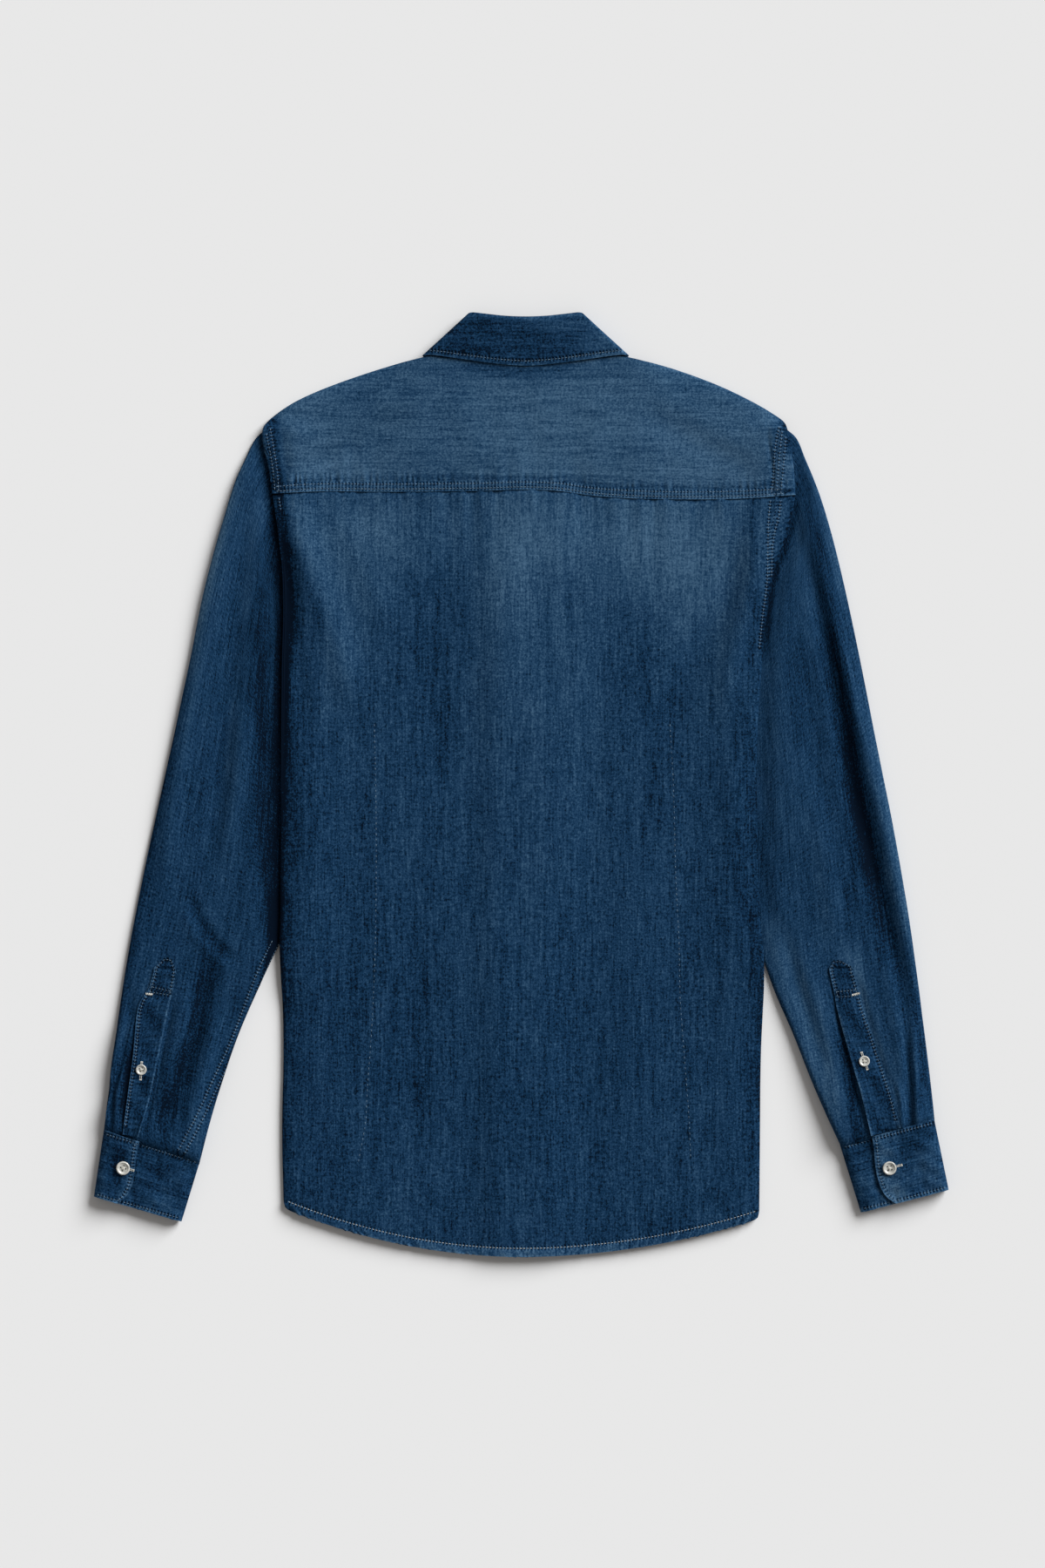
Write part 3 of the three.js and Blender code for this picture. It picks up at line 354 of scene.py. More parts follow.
def refine(rows, spacing, ring=False):
    """The refined grid with each point's place in the rows and columns that it came from."""
    grid = np.array(rows, float)
    grid, column = refine_rows(grid, spacing[1], ring)
    grid, row = refine_rows(grid.transpose(1, 0, 2), spacing[0])
    grid = grid.transpose(1, 0, 2)
    return grid, np.repeat(row[:, None], len(column), 1), np.repeat(column[None, :], len(row), 0)


def unit(vectors):
    return vectors / np.maximum(np.linalg.norm(vectors, axis=-1, keepdims=True), 1e-9)


def grid_normals(grid, ring):
    if ring:
        across = unit(np.roll(grid, -1, 1) - grid) + unit(grid - np.roll(grid, 1, 1))
    else:
        ahead = np.concatenate([grid[:, 1:], grid[:, -1:]], 1) - grid
        behind = grid - np.concatenate([grid[:, :1], grid[:, :-1]], 1)
        across = unit(ahead) + unit(behind)
    up = np.concatenate([grid[1:], grid[-1:]], 0) - np.concatenate([grid[:1], grid[:-1]], 0)
    return unit(np.cross(across, up))


def quads(rows, columns, ring):
    """Point numbers, those at both ends of each step along a row, and the faces."""
    index = np.arange(rows * columns).reshape(rows, columns)
    start, end = (index, np.roll(index, -1, 1)) if ring else (index[:, :-1], index[:, 1:])
    faces = np.stack([start[:-1], end[:-1], end[1:], start[1:]], -1).reshape(-1, 4)
    return index, start, end, faces


# The outer face of each shell, and the stitch lines sewn on it as pairs of half gap and line.
SURFACES = {}
SEWN = {}


def make_mesh(name, points, faces, material, smooth_angle=55):
    mesh = bpy.data.meshes.new(name)
    mesh.from_pydata((np.asarray(points) * MM).tolist(), [], [tuple(f) for f in faces])
    mesh.materials.append(material)
    mesh.polygons.foreach_set("use_smooth", [True] * len(mesh.polygons))
    mesh.update()
    mesh.set_sharp_from_angle(angle=math.radians(smooth_angle))
    piece = bpy.data.objects.new(name, mesh)
    bpy.context.scene.collection.objects.link(piece)
    return piece


def attribute(mesh, name, outer, inner):
    """Numbers or vectors for the points of the outer face and of the inner one."""
    vectors = np.ndim(outer) == 3
    layer = mesh.attributes.new(name, "FLOAT_VECTOR" if vectors else "FLOAT", "POINT")
    both = np.stack([outer, inner]).astype(np.float32)
    layer.data.foreach_set("vector" if vectors else "value", both.ravel())


def grain_of(grid, along_rows):
    """Unfolded distances across and along the cloth, in metres."""
    across = np.zeros(grid.shape[:2])
    across[:, 1:] = np.cumsum(np.linalg.norm(np.diff(grid, axis=1), axis=2), axis=1)
    across -= across[:, across.shape[1] // 2][:, None]
    down = np.zeros(grid.shape[:2])
    down[1:] = np.cumsum(np.linalg.norm(np.diff(grid, axis=0), axis=2), axis=0)
    down = np.repeat(down.mean(axis=1)[:, None], grid.shape[1], 1)
    pair = (down, across) if along_rows else (across, down)
    return np.stack([pair[0], pair[1], np.zeros(grid.shape[:2])], -1) * MM


def sewn_lines(x, y, lines):
    """Distance from the nearest sewn line, distance along it and half its gap, in metres."""
    best = np.full(np.shape(x), 30.0)
    seam = np.zeros((*np.shape(x), 3))
    for gap, line in lines:
        away, share = along_line(x, y, line)
        length = np.hypot(*np.diff(np.asarray(line, float), axis=0).T).sum()
        nearer = np.abs(away) < best
        best = np.where(nearer, np.abs(away), best)
        here = np.stack([away, share * length, np.full(np.shape(x), gap)], -1) * MM
        seam = np.where(nearer[..., None], here, seam)
    return seam, smooth(8, 5.5, best)


def shell(name, rows, thickness, spacing, *, tone, node, ring=False, relief=None, grain="plan"):
    """A thin closed wall whose outer face follows the rows, with soft relief on what faces up."""
    grid, row, column = refine(rows, spacing, ring)
    grid[..., 2] = np.maximum(grid[..., 2], 0)
    normal = grid_normals(grid, ring)
    if relief is not None:
        top = smooth(0.25, 0.8, normal[..., 2])
        grid = grid + normal * (relief(grid[..., 0], grid[..., 1], row, column) * top)[..., None]
        normal = grid_normals(grid, ring)
    x, y = grid[..., 0], grid[..., 1]
    count = x.size
    index, start, end, outer_faces = quads(*x.shape, ring)
    borders = [(start[0], end[0]), (end[-1], start[-1])]
    if not ring:
        borders += [(index[1:, 0], index[:-1, 0]), (index[:-1, -1], index[1:, -1])]
    faces = [outer_faces, outer_faces[:, ::-1] + count]
    faces += [np.stack([a, a + count, b + count, b], -1) for a, b in borders]
    points = np.concatenate([grid.reshape(-1, 3), (grid - normal * thickness).reshape(-1, 3)])
    piece = make_mesh(name, points, np.concatenate(faces).tolist(), DENIM)
    shade = tone(x, y, row, column)
    fade, wear = shade if isinstance(shade, tuple) else (shade, 0)
    if grain == "plan":
        lines = grid * MM
    elif grain == "turned":
        lines = grid[..., [1, 0, 2]] * MM
    else:
        lines = grain_of(grid, grain == "rows")
    seam, sewn = sewn_lines(x, y, SEWN.get(name, ()))
    sewn = sewn * smooth(0.1, 0.5, normal[..., 2])
    for key, values in (("fade", fade), ("wear", wear)):
        values = np.broadcast_to(values, x.shape)
        attribute(piece.data, key, values, values)
    attribute(piece.data, "grain", lines, lines)
    attribute(piece.data, "seam", seam, seam)
    attribute(piece.data, "sewn", sewn, sewn * 0)
    SURFACES[name] = BVHTree.FromPolygons(grid.reshape(-1, 3).tolist(), outer_faces.tolist())
    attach(piece, "root")
    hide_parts(node)
    return piece


DROP_FROM = 80


def drop(name, x, y):
    """The point and normal where a line straight down meets a piece."""
    hit = SURFACES[name].ray_cast(Vector((x, y, DROP_FROM)), Vector((0, 0, -1)))
    if hit[0] is None:
        return None, None
    normal = hit[1] if hit[1].z > 0 else -hit[1]
    return np.array(hit[0]), np.array(normal)


# ---------------------------------------------------------------- materials

def lin(*rgb):
    out = []
    for value in rgb:
        c = value / 255
        out.append(c / 12.92 if c <= 0.04045 else ((c + 0.055) / 1.055) ** 2.4)
    return (*out, 1.0)


class Look:
    """A material with one shader, and the nodes that feed it."""

    def __init__(self, name, roughness, specular=0.5, coat=0.0):
        self.material = bpy.data.materials.new(name)
        self.material.use_nodes = True
        self.nodes = self.material.node_tree.nodes
        self.links = self.material.node_tree.links
        self.nodes.clear()
        output = self.nodes.new("ShaderNodeOutputMaterial")
        self.shader = self.nodes.new("ShaderNodeBsdfPrincipled")
        self.links.new(self.shader.outputs["BSDF"], output.inputs["Surface"])
        self.shader.inputs["Roughness"].default_value = roughness
        self.shader.inputs["Specular IOR Level"].default_value = specular
        self.shader.inputs["Coat Weight"].default_value = coat

    def attribute(self, name, output="Fac"):
        node = self.nodes.new("ShaderNodeAttribute")
        node.attribute_name = name
        return node.outputs[output]

    def place(self):
        return self.nodes.new("ShaderNodeTexCoord").outputs["Object"]

    def noise(self, vector, scale, detail=1.0, roughness=0.5):
        """Noise stretched by a scale for each axis."""
        stretch = self.nodes.new("ShaderNodeVectorMath")
        stretch.operation = "MULTIPLY"
        stretch.inputs[1].default_value = scale
        self.links.new(vector, stretch.inputs[0])
        texture = self.nodes.new("ShaderNodeTexNoise")
        for key, value in (("Scale", 1.0), ("Detail", detail), ("Roughness", roughness)):
            texture.inputs[key].default_value = value
        self.links.new(stretch.outputs[0], texture.inputs["Vector"])
        return texture.outputs["Fac"]

    def maths(self, operation, a, b=0.0):
        node = self.nodes.new("ShaderNodeMath")
        node.operation = operation
        for socket, value in zip(node.inputs, (a, b)):
            if isinstance(value, (int, float)):
                socket.default_value = value
            else:
                self.links.new(value, socket)
        return node.outputs[0]

    def ramp(self, value, first, last, *between):
        """The base colour, from stops of position and colour."""
        node = self.nodes.new("ShaderNodeValToRGB")
        stops = node.color_ramp.elements
        for stop, (position, colour) in zip(stops, (first, last)):
            stop.position = position
            stop.color = lin(*colour)
        for position, colour in between:
            stops.new(position).color = lin(*colour)
        self.links.new(value, node.inputs["Fac"])
        self.links.new(node.outputs["Color"], self.shader.inputs["Base Color"])

    def bump(self, height, strength, distance):
        node = self.nodes.new("ShaderNodeBump")
        node.inputs["Strength"].default_value = strength
        node.inputs["Distance"].default_value = distance
        self.links.new(height, node.inputs["Height"])
        self.links.new(node.outputs["Normal"], self.shader.inputs["Normal"])


STITCH_PITCH = 2.8
NEEDLE_REACH = 2.4
INDIGO = [
    (0.0, (2, 13, 28)), (1.0, (70, 101, 129)), (0.08, (5, 29, 51)), (0.17, (9, 39, 65)),
    (0.37, (21, 52, 82)), (0.57, (36, 67, 96)), (0.77, (54, 84, 111)),
]


def needle_marks(look):
    """Small puckers, one to a stitch, that fade away from a sewn line."""
    split = look.nodes.new("ShaderNodeSeparateXYZ")
    look.links.new(look.attribute("seam", "Vector"), split.inputs[0])
    away = look.maths("ABSOLUTE", split.outputs["X"])
    away = look.maths("ABSOLUTE", look.maths("SUBTRACT", away, split.outputs["Z"]))
    near = look.maths("MULTIPLY", away, -1 / (NEEDLE_REACH * MM))
    near = look.maths("MAXIMUM", look.maths("ADD", near, 1.0), 0.0)
    turn = look.maths("MULTIPLY", split.outputs["Y"], 2 * math.pi / (STITCH_PITCH * MM))
    wave = look.maths("SUBTRACT", look.maths("SINE", turn), 0.35)
    near = look.maths("MULTIPLY", near, look.attribute("sewn"))
    return look.maths("MULTIPLY", near, wave)


def denim_material():
    look = Look("denim_cloth", 0.92, specular=0.05)
    lines = look.attribute("grain", "Vector")
    slub = look.noise(lines, (620, 40, 300), 3.0, 0.65)
    streak = look.noise(lines, (190, 9, 60), 2.0, 0.6)
    weave = look.noise(lines, (620, 520, 600), 4.0, 0.8)
    cross = look.noise(lines, (90, 620, 300), 2.0, 0.5)
    cloud = look.noise(lines, (22, 9, 12), 2.0, 0.55)
    # The fade attribute holds the denim's own lighter and darker tone together with the painted shade and painted
    # highlights of the tone functions.
    total = look.attribute("fade")
    for value, amount in ((slub, 1.35), (streak, 0.6), (weave, 3.1), (cross, 0.55), (cloud, 0.34)):
        centred = look.maths("SUBTRACT", value, 0.5)
        total = look.maths("ADD", total, look.maths("MULTIPLY", centred, amount))
    pucker = needle_marks(look)
    # The puckers are also painted into the colour, lighter on their crests and darker in their dips: painted
    # light and shade.
    total = look.maths("ADD", total, look.maths("MULTIPLY", pucker, 0.9))
    worn = look.maths("MULTIPLY", look.attribute("wear"), look.maths("MULTIPLY", weave, 2.0))
    total = look.maths("ADD", total, worn)
    # The ramp covers fades from -0.25 to 1.25.
    total = look.maths("ADD", look.maths("MULTIPLY", total, 0.667), 0.167)
    look.ramp(total, *INDIGO)
    height = look.maths("ADD", look.maths("MULTIPLY", slub, 0.7), weave)
    height = look.maths("ADD", height, look.maths("MULTIPLY", pucker, 1.6))
    look.bump(height, 0.35, 0.0003)
    return look.material


def thread_material(name, low, high):
    look = Look(name, 0.8)
    place = look.place()
    look.ramp(look.noise(place, (420, 420, 420), 2.0), (0.36, low), (0.64, high))
    look.bump(look.noise(place, (2600, 2600, 2600)), 0.4, 0.0001)
    return look.material


def button_material():
    look = Look("button_pearl", 0.28, coat=0.3)
    value = look.noise(look.place(), (240, 420, 300), 3.0, 0.6)
    look.ramp(value, (0.3, (158, 159, 154)), (0.7, (208, 207, 200)))
    look.bump(value, 0.1, 0.0002)
    return look.material


DENIM = denim_material()
THREAD = thread_material("thread_blue", (62, 90, 116), (112, 138, 158))
PALE_THREAD = thread_material("thread_pale", (128, 140, 148), (182, 186, 186))
WHITE_THREAD = thread_material("thread_white", (186, 184, 174), (226, 224, 216))
PEARL = button_material()


# ---------------------------------------------------------------- body

def rounded_top(inset, reach=ROUNDING):
    t = np.clip(inset / reach, 0, 1)
    return 0.5 + 0.5 * np.sqrt(1 - (1 - t) * (1 - t))


def rounded_foot(inset):
    return 0.5 * (1 - smooth(-0.8, 2.4, inset)) / (1 - smooth(-0.8, 2.4, 0))


def tuck(y):
    return smooth(TUCK_END_Y, TUCK_FULL_Y, y) * (1 - smooth(293, 304, y))


def collar_lift(x, y):
    return COLLAR_LIFT * smooth(206, 236, y) * (1 - smooth(92, 118, np.abs(x - CENTRE_X)))


def side_at(y, name):
    return BODY_SIDES.at(y, name)


def insets(x, y):
    """How far a place lies inside the left side and inside the right one."""
    return x - side_at(y, "left"), side_at(y, "right") - x


def yoke_seam(x):
    return YOKE_SEAM.at(x, "y")


def back_top(x, y):
    centre = CENTRE_CROWN * (1 - smooth(RISE_FROM, 50, abs(x - CENTRE_X)))
    inset = min(insets(x, y))
    sides = SIDE_CROWN * tuck(y) * (1 - smooth(10, 58, inset))
    neck = NECK_CROWN * smooth(225, 275, y) * (1 - smooth(88, 140, abs(x - CENTRE_X)))
    return BODY_HEIGHT + max(centre, sides, neck)


def back_hem(unfolded):
    share = np.asarray(unfolded, float) / BACK_HEM["at"]
    rise = np.where(share < 0, BACK_HEM["left_rise"], BACK_HEM["right_rise"])
    return BACK_HEM["centre"] + rise * share * share


# The back's sides: insets of the rows of points over each folded edge.
FOLD_OVER = [0, 0.8, 2.6, 6.5, 12, 20]
BACK_LAP = 1.2
HEM_CORNER = 5


def back_row(share):
    nominal = lerp(back_hem(-BACK_HEM["at"]), SEAM_Y, share)
    level = np.clip(share * (SEAM_Y - BACK_HEM["centre"]) / HEM_CORNER, 0, 1)
    rounding = HEM_CORNER * (1 - math.sqrt(1 - (1 - level) ** 2))
    left, right = side_at(nominal, "left") + rounding, side_at(nominal, "right") - rounding
    opened = smooth(UNDERARM_Y - 16, UNDERARM_Y + 78, nominal)
    left_end = lerp(side_at(nominal, "leftSeam") + 0.4, left + CURL, opened)
    right_end = lerp(side_at(nominal, "rightSeam") - 0.4, right - CURL, opened)
    places = [(lerp(left + 3, left_end, s), left - 6 - (left_end - left) * s, 0) for s in (1, 0.55)]
    places += [(left + i, left - 4, rounded_foot(i)) for i in (2.4, 0.8)]
    places += [(left + i, left + i, rounded_top(i)) for i in FOLD_OVER]
    places += [(lerp(left + 20, right - 20, k / 18), lerp(left + 20, right - 20, k / 18), 1)
               for k in range(1, 18)]
    places += [(right - i, right - i, rounded_top(i)) for i in reversed(FOLD_OVER)]
    places += [(right - i, right + 4, rounded_foot(i)) for i in (0.8, 2.4)]
    places += [(lerp(right - 3, right_end, s), right + 6 + (right - right_end) * s, 0) for s in (0.55, 1)]
    row = []
    for x, unfolded, height in places:
        y = lerp(back_hem(unfolded), yoke_seam(x) + BACK_LAP, share)
        foot = TUCK_LIFT * tuck(y)
        row.append((x, y, foot + (back_top(x, y) - foot) * height))
    return row


# How strongly the folds are painted lighter on their ridges and darker in their troughs: painted light and shade,
# partly the wash's wear on the ridges.
FOLD_WEAR_AND_SHADE = 0.05
# Painted shade in the crevices, creases and along the sides, painted highlights on ridges and strips, and some
# lighter streaks of the wash: amount, half width, line.
BACK_SHADES = [
    (-0.75, 7, [(-206, 420), (-202, 300), (-200, 230), (-195, 180), (-193, 140), (-197, 90),
                (-201, -40)]),
    (-0.5, 6, [(-200, 200), (-200, 20), (-199, -80), (-198, -180), (-198, -220)]),
    (-0.35, 5, [(-198, 210), (-180, 176), (-170, 150), (-166, 110)]),
    (-0.5, 3, [(227, 262), (226.5, 240), (223.5, 216), (216.5, 195), (210.5, 180), (206, 164),
               (203, 140), (199, 90)]),
    (0.14, 5, [(214, 244), (211, 214), (207, 190), (203, 170), (200, 140)]),
    (0.06, 50, [(-20, -60), (10, -160), (0, -260)]),
    (-0.3, 4, [(190, 250), (191, 205), (193, 170), (194, 120)]),
    (0.08, 5, [(-193, 262), (-187, 228), (-180, 196)]),
    (0.14, 5, [(-186, 130), (-186, 90), (-187, 40)]),
    (0.08, 26, [(-60, 300), (20, 226), (120, 222), (190, 240)]),
    (0.16, 16, [(120, 200), (136, 150), (120, 90)]),
    (-0.2, 5, [(195, -60), (190, -120), (196, -180), (197, -300)]),
    (0.16, 6, [(26, 225), (27, 170), (30, 100)]),
    (0.14, 7, [(-84, 20), (-86, -50), (-84, -130)]),
    (0.14, 14, [(-122, 190), (-130, 140), (-124, 80)]),
    (0.12, 7, [(112, 110), (105, 50), (103, 10)]),
    (0.14, 10, [(168, 200), (164, 150), (172, 100)]),
    (0.12, 6, [(90, 235), (93, 200), (100, 140)]),
    (-0.16, 8, [(70, 60), (69, 10), (74, -60)]),
    (-0.12, 5, [(136, 80), (126, 40), (120, 0)]),
    (-0.12, 10, [(-160, 230), (-140, 190), (-120, 160)]),
    (-0.14, 9, [(-36, 234), (-34, 205), (-38, 170)]),
]
BACK_FOLDS = [
    (2.8, 13, [(-192, 236), (-179, 195), (-168, 160), (-150, 110), (-136, 50)]),
    (-2.0, 9, [(-194, 205), (-188, 150), (-184, 90), (-176, 30)]),
    (1.0, 12, [(-150, 232), (-128, 170), (-104, 120)]),
    (-0.9, 20, [(-74, 190), (-72, 90), (-66, -20)]),
    (0.8, 24, [(-22, 220), (-16, 120), (-14, 20)]),
    (-0.7, 14, [(22, 210), (20, 130), (16, 60)]),
    (0.9, 18, [(58, 225), (52, 130), (40, 30)]),
    (2.2, 10, [(192, 236), (194, 212), (192, 176), (176, 110), (160, 40)]),
    (-1.8, 12, [(178, 214), (168, 150), (138, 90), (104, 30)]),
    (-1.0, 10, [(196, 150), (184, 80), (172, 10)]),
    (1.0, 12, [(186, 120), (176, 20), (172, -70)]),
    (-1.0, 9, [(190, 40), (188, -60), (190, -150)]),
    (0.9, 16, [(-166, 20), (-170, -120), (-166, -300)]),
    (-0.9, 12, [(-186, 110), (-186, 0), (-188, -120)]),
    (-0.8, 18, [(-96, -40), (-88, -180), (-92, -330)]),
    (0.8, 22, [(-34, -60), (-26, -200), (-30, -350)]),
    (-0.7, 20, [(34, -90), (44, -220), (38, -360)]),
    (0.8, 20, [(92, -20), (96, -170), (94, -330)]),
    (0.7, 12, [(168, -120), (172, -240), (170, -330)]),
]
LEFT_DART = [(-121.4, 51), (-120, -18), (-120, -92), (-121, -146.5), (-123.6, -202), (-127.5, -256.7),
             (-128.6, -278.3), (-134.4, -310.7)]
RIGHT_DART = [(122.7, 51), (125.6, 0.4), (127.7, -78.8), (130.2, -128.5), (131.3, -177.5),
              (134.9, -227.2), (138.5, -275.4), (140, -310.7)]


STRIP_SEEDS = (0.2, 1.3)


def hem_place(x, y):
    """How far a place lies above the hem, and its place along the hem's slanted ripples."""
    rise = y - back_hem(np.clip(x, -HEM_REACH, HEM_REACH))
    return rise, x * np.where(x < CENTRE_X, 1, -1) * 0.9 + rise * 0.75


def back_relief(x, y, row, column):
    below = yoke_seam(x) - y
    rise, slant = hem_place(x, y)
    total = folds(x, y, BACK_FOLDS) + 2.2 * folds(x, y, BACK_SHADES[:1])
    puckers = ripple(x, 8.6, 0.4) + 0.6 * ripple(x, 14.5, 2.4)
    total += 0.62 * puckers * np.exp(-np.clip(below, 0, None) / 10)
    total += 0.7 * ripple(x, 31, 1.9) * np.exp(-np.clip(below, 0, None) / 38)
    total -= 1.1 * smooth(2.4, -0.6, below)
    for dart, seed in ((LEFT_DART, 0.3), (RIGHT_DART, 1.6)):
        away, share = along_line(x, y, dart)
        ends = smooth(0, 0.12, share)
        total += ends * (0.45 * np.exp(-((away - 1.6) / 2.4) ** 2) - 0.55 * np.exp(-(away / 0.9) ** 2))
        total += ends * 0.2 * ripple(y, 9.5, seed) * np.exp(-(away / 4) ** 2)
    band = smooth(HEM_WIDTH + 0.5, HEM_WIDTH - 0.7, rise)
    total += band * (0.6 + 0.7 * ripple(slant, 7.0, 0.9))
    total += 0.22 * ripple(x, 12, 2.2) * np.exp(-np.clip(rise - HEM_WIDTH, 0, None) / 7) * (1 - band)
    total -= 0.5 * np.exp(-((rise - HEM_WIDTH - 0.4) / 1.0) ** 2)
    high = smooth(110, 150, y)
    for inset, seed in zip(insets(x, y), STRIP_SEEDS):
        total += high * smooth(22, 16, inset) * (0.3 + 0.45 * ripple(y + 0.4 * inset, 4.6, seed))
    return total


BACK_TONES = [
    (-8, 190, 46, 62, 0.34), (24, 205, 60, 34, 0.14), (132, 186, 60, 48, 0.42), (96, 212, 50, 26, 0.12),
    (-150, 196, 42, 44, 0.3), (-104, 214, 46, 26, 0.16), (-72, 92, 22, 90, -0.16),
    (104, 84, 24, 60, -0.14),
    (20, 60, 60, 90, 0.14), (-40, -40, 70, 80, 0.07), (60, -30, 60, 90, 0.06),
    (-160, -260, 50, 110, -0.08),
    (60, -230, 80, 90, -0.05), (-60, -330, 90, 40, 0.05), (150, -300, 40, 70, 0.08),
    (-186, 60, 16, 130, -0.1),
    (184, 20, 14, 120, -0.1), (150, 60, 24, 60, 0.06), (-150, 90, 22, 70, 0.05),
]


def back_tone(x, y, row, column):
    fade = 0.2 + 0.1 * smooth(-60, 120, y) + 0.1 * smooth(150, 235, y) + spots(x, y, BACK_TONES)
    # Folds painted lighter on their ridges and darker in their troughs, as painted light and shade with some wash
    # wear, then the painted shade and highlights along crevices, creases and edges.
    fade += FOLD_WEAR_AND_SHADE * folds(x, y, BACK_FOLDS) + folds(x, y, BACK_SHADES)
    left, right = insets(x, y)
    inset = np.minimum(left, right)
    # Painted shade along the sides of the back, where the cloth rounds down away from the light.
    fade -= 0.16 * np.exp(-np.clip(inset, 0, None) / 9) * smooth(240, 200, y)
    rise, slant = hem_place(x, y)
    band = smooth(HEM_WIDTH + 0.8, HEM_WIDTH - 0.6, rise)
    fade += band * (0.3 * smooth(150, 40, np.abs(x)) + 0.24 * ripple(slant, 7.0, 0.9))
    wear = band * (0.04 + 0.3 * np.clip(ripple(slant, 9.4, 0.9), 0, 1)) + 0.25 * smooth(1.6, 0, rise)
    fade += 0.3 * ripple(y - 0.4 * right, 4.6, 1.3) * smooth(24, 16, right) * smooth(140, 190, y)
    below = yoke_seam(x) - y
    fade += 0.1 * ripple(x, 8.6, 0.4) * np.exp(-np.clip(below, 0, None) / 8)
    # Painted shade just below the yoke's lapped edge.
    fade -= 0.3 * smooth(2.2, 0.6, below)
    return fade, wear


def back_panel():
    length = SEAM_Y - BACK_HEM["centre"] - 20
    marks = [0, 0.6, 2, 6.6, 7.4, 24, 52, 84, 116, 146, 172, 196, 222, 256, 292, 330, 368, 406, 440, 466, 482,
             500, 522, 548, 574, 594, length]
    rows = [back_row(mark / length) for mark in marks]
    return shell("back", rows, CLOTH, (2.5, 2.7), relief=back_relief, tone=back_tone, node="back_panel")


YOKE_LAP = 0.6


def foot_height(x, y):
    side = smooth(150, 190, abs(x - CENTRE_X))
    return max(TUCK_LIFT * tuck(y) * side, collar_lift(x, y))


def yoke_column(fold, foot, end, folded):
    reach = math.hypot(fold[0] - foot[0], fold[1] - foot[1])
    under = math.hypot(end[0] - fold[0], end[1] - fold[1])
    tops = [(reach - 20) * share for share in (0, 0.2, 0.4, 0.6, 0.8, 1)]
    tops += [reach - 12, reach - 6.5, reach - 2.6, reach - 0.8, reach]

    def clear(x, y):
        return max(y, yoke_seam(x) - YOKE_LAP)

    line = []
    for along in tops:
        x = lerp(foot[0], fold[0], along / reach)
        y = clear(x, lerp(foot[1], fold[1], along / reach))
        low = foot_height(x, y)
        line.append((x, y, low + (back_top(x, y) - low) * lerp(1, rounded_top(reach - along), folded)))
    top = back_top(*fold)
    for beyond, lip in zip((min(0.8, under * 0.16), min(2.4, under * 0.48), under), (0.8, 1.6, NECK_LIP)):
        t = beyond / under if under > 0 else 0
        x = lerp(fold[0], end[0], t)
        y = clear(x, lerp(fold[1], end[1], t))
        low = foot_height(x, y)
        line.append((x, y, lerp(top - lip, low + (top - low) * rounded_foot(beyond), folded)))
    return line


def shoulder_columns(table, shares):
    columns = []
    for share in shares:
        foot_x = table.at(share, "footX")
        foot = (foot_x, yoke_seam(foot_x) - YOKE_LAP)
        fold = (table.at(share, "x"), table.at(share, "y"))
        end = (table.at(share, "endX"), table.at(share, "endY"))
        columns.append(yoke_column(fold, foot, end, 1 - smooth(0.84, 1, share)))
    return columns


YOKE_FOLDS = [
    (-1.4, 6, [(-204, 306), (-199, 292), (-196, 262), (-196, 248)]),
    (0.9, 12, [(-92, 332), (-140, 300), (-196, 268)]),
    (-0.8, 11, [(-84, 312), (-136, 280), (-190, 256)]),
    (0.9, 12, [(98, 332), (150, 300), (206, 266)]),
    (-0.8, 11, [(90, 312), (146, 280), (200, 254)]),
    (0.6, 14, [(-60, 330), (-40, 290), (-30, 250)]),
    (0.7, 14, [(70, 326), (62, 290), (56, 248)]),
    (-0.5, 12, [(-10, 330), (8, 290), (10, 256)]),
]
# Painted shade in the crevices at the shoulder ends and painted shadow under the collar's edge, with other
# lighter and darker bands: amount, half width, line.
YOKE_SHADES = [
    (-0.75, 6, [(-214, 400), (-205, 296), (-202, 262), (-200, 232), (-196, 160)]),
    (-0.8, 5, [(214, 318), (219, 300), (223, 288), (226, 268)]),
    (-0.1, 30, [(-160, 330), (-110, 290), (-60, 250)]),
    (-0.2, 6, [(216, 316), (213, 292), (206, 262), (203, 236)]),
    (-0.3, 5, [(-60, 344), (0, 341), (66, 344)]),
    (-0.2, 9, [(-110, 326), (-70, 315), (-30, 318)]),
    (0.14, 9, [(-20, 270), (20, 268), (70, 270)]),
]
# Lighter and darker patches of the yoke: centre, half sizes, amount. The dark ones along the neck and just under
# the collar are painted shade.
YOKE_TONES = [
    (20, 300, 90, 40, 0.04), (-150, 262, 40, 24, 0.1), (150, 264, 44, 30, 0.12), (0, 346, 90, 14, -0.2),
    (-60, 270, 30, 20, -0.08), (90, 280, 30, 26, -0.04), (-120, 322, 40, 14, -0.1),
    (120, 326, 40, 14, -0.08),
]


STRIP_WIDTHS = (7.6, 17)


def yoke_relief(x, y, row, column):
    above = y - yoke_seam(x)
    total = folds(x, y, YOKE_FOLDS)
    total += 0.7 * ripple(x, 5.2, 1.1) * np.exp(-((above - 9) / 5) ** 2)
    total += 0.5 * smooth(7.4, 6.0, above)
    total += 0.4 * ripple(x, 27, 0.8) * np.exp(-np.clip(above, 0, None) / 26)
    total -= 0.35 * np.exp(-((above - 7.6) / 1.2) ** 2)
    total -= 0.22 * np.exp(-((above - 1.6) / 0.8) ** 2) + 0.22 * np.exp(-((above - 5.6) / 0.8) ** 2)
    tips = smooth(306, 288, y)
    for inset, seed, width in zip(insets(x, y), STRIP_SEEDS, STRIP_WIDTHS):
        total += tips * smooth(width, width - 1.6, inset) * (0.5 + 0.6 * ripple(y, 4.6, seed))
        total -= tips * 0.6 * np.exp(-((inset - width - 1.2) / 1.6) ** 2)
    return total


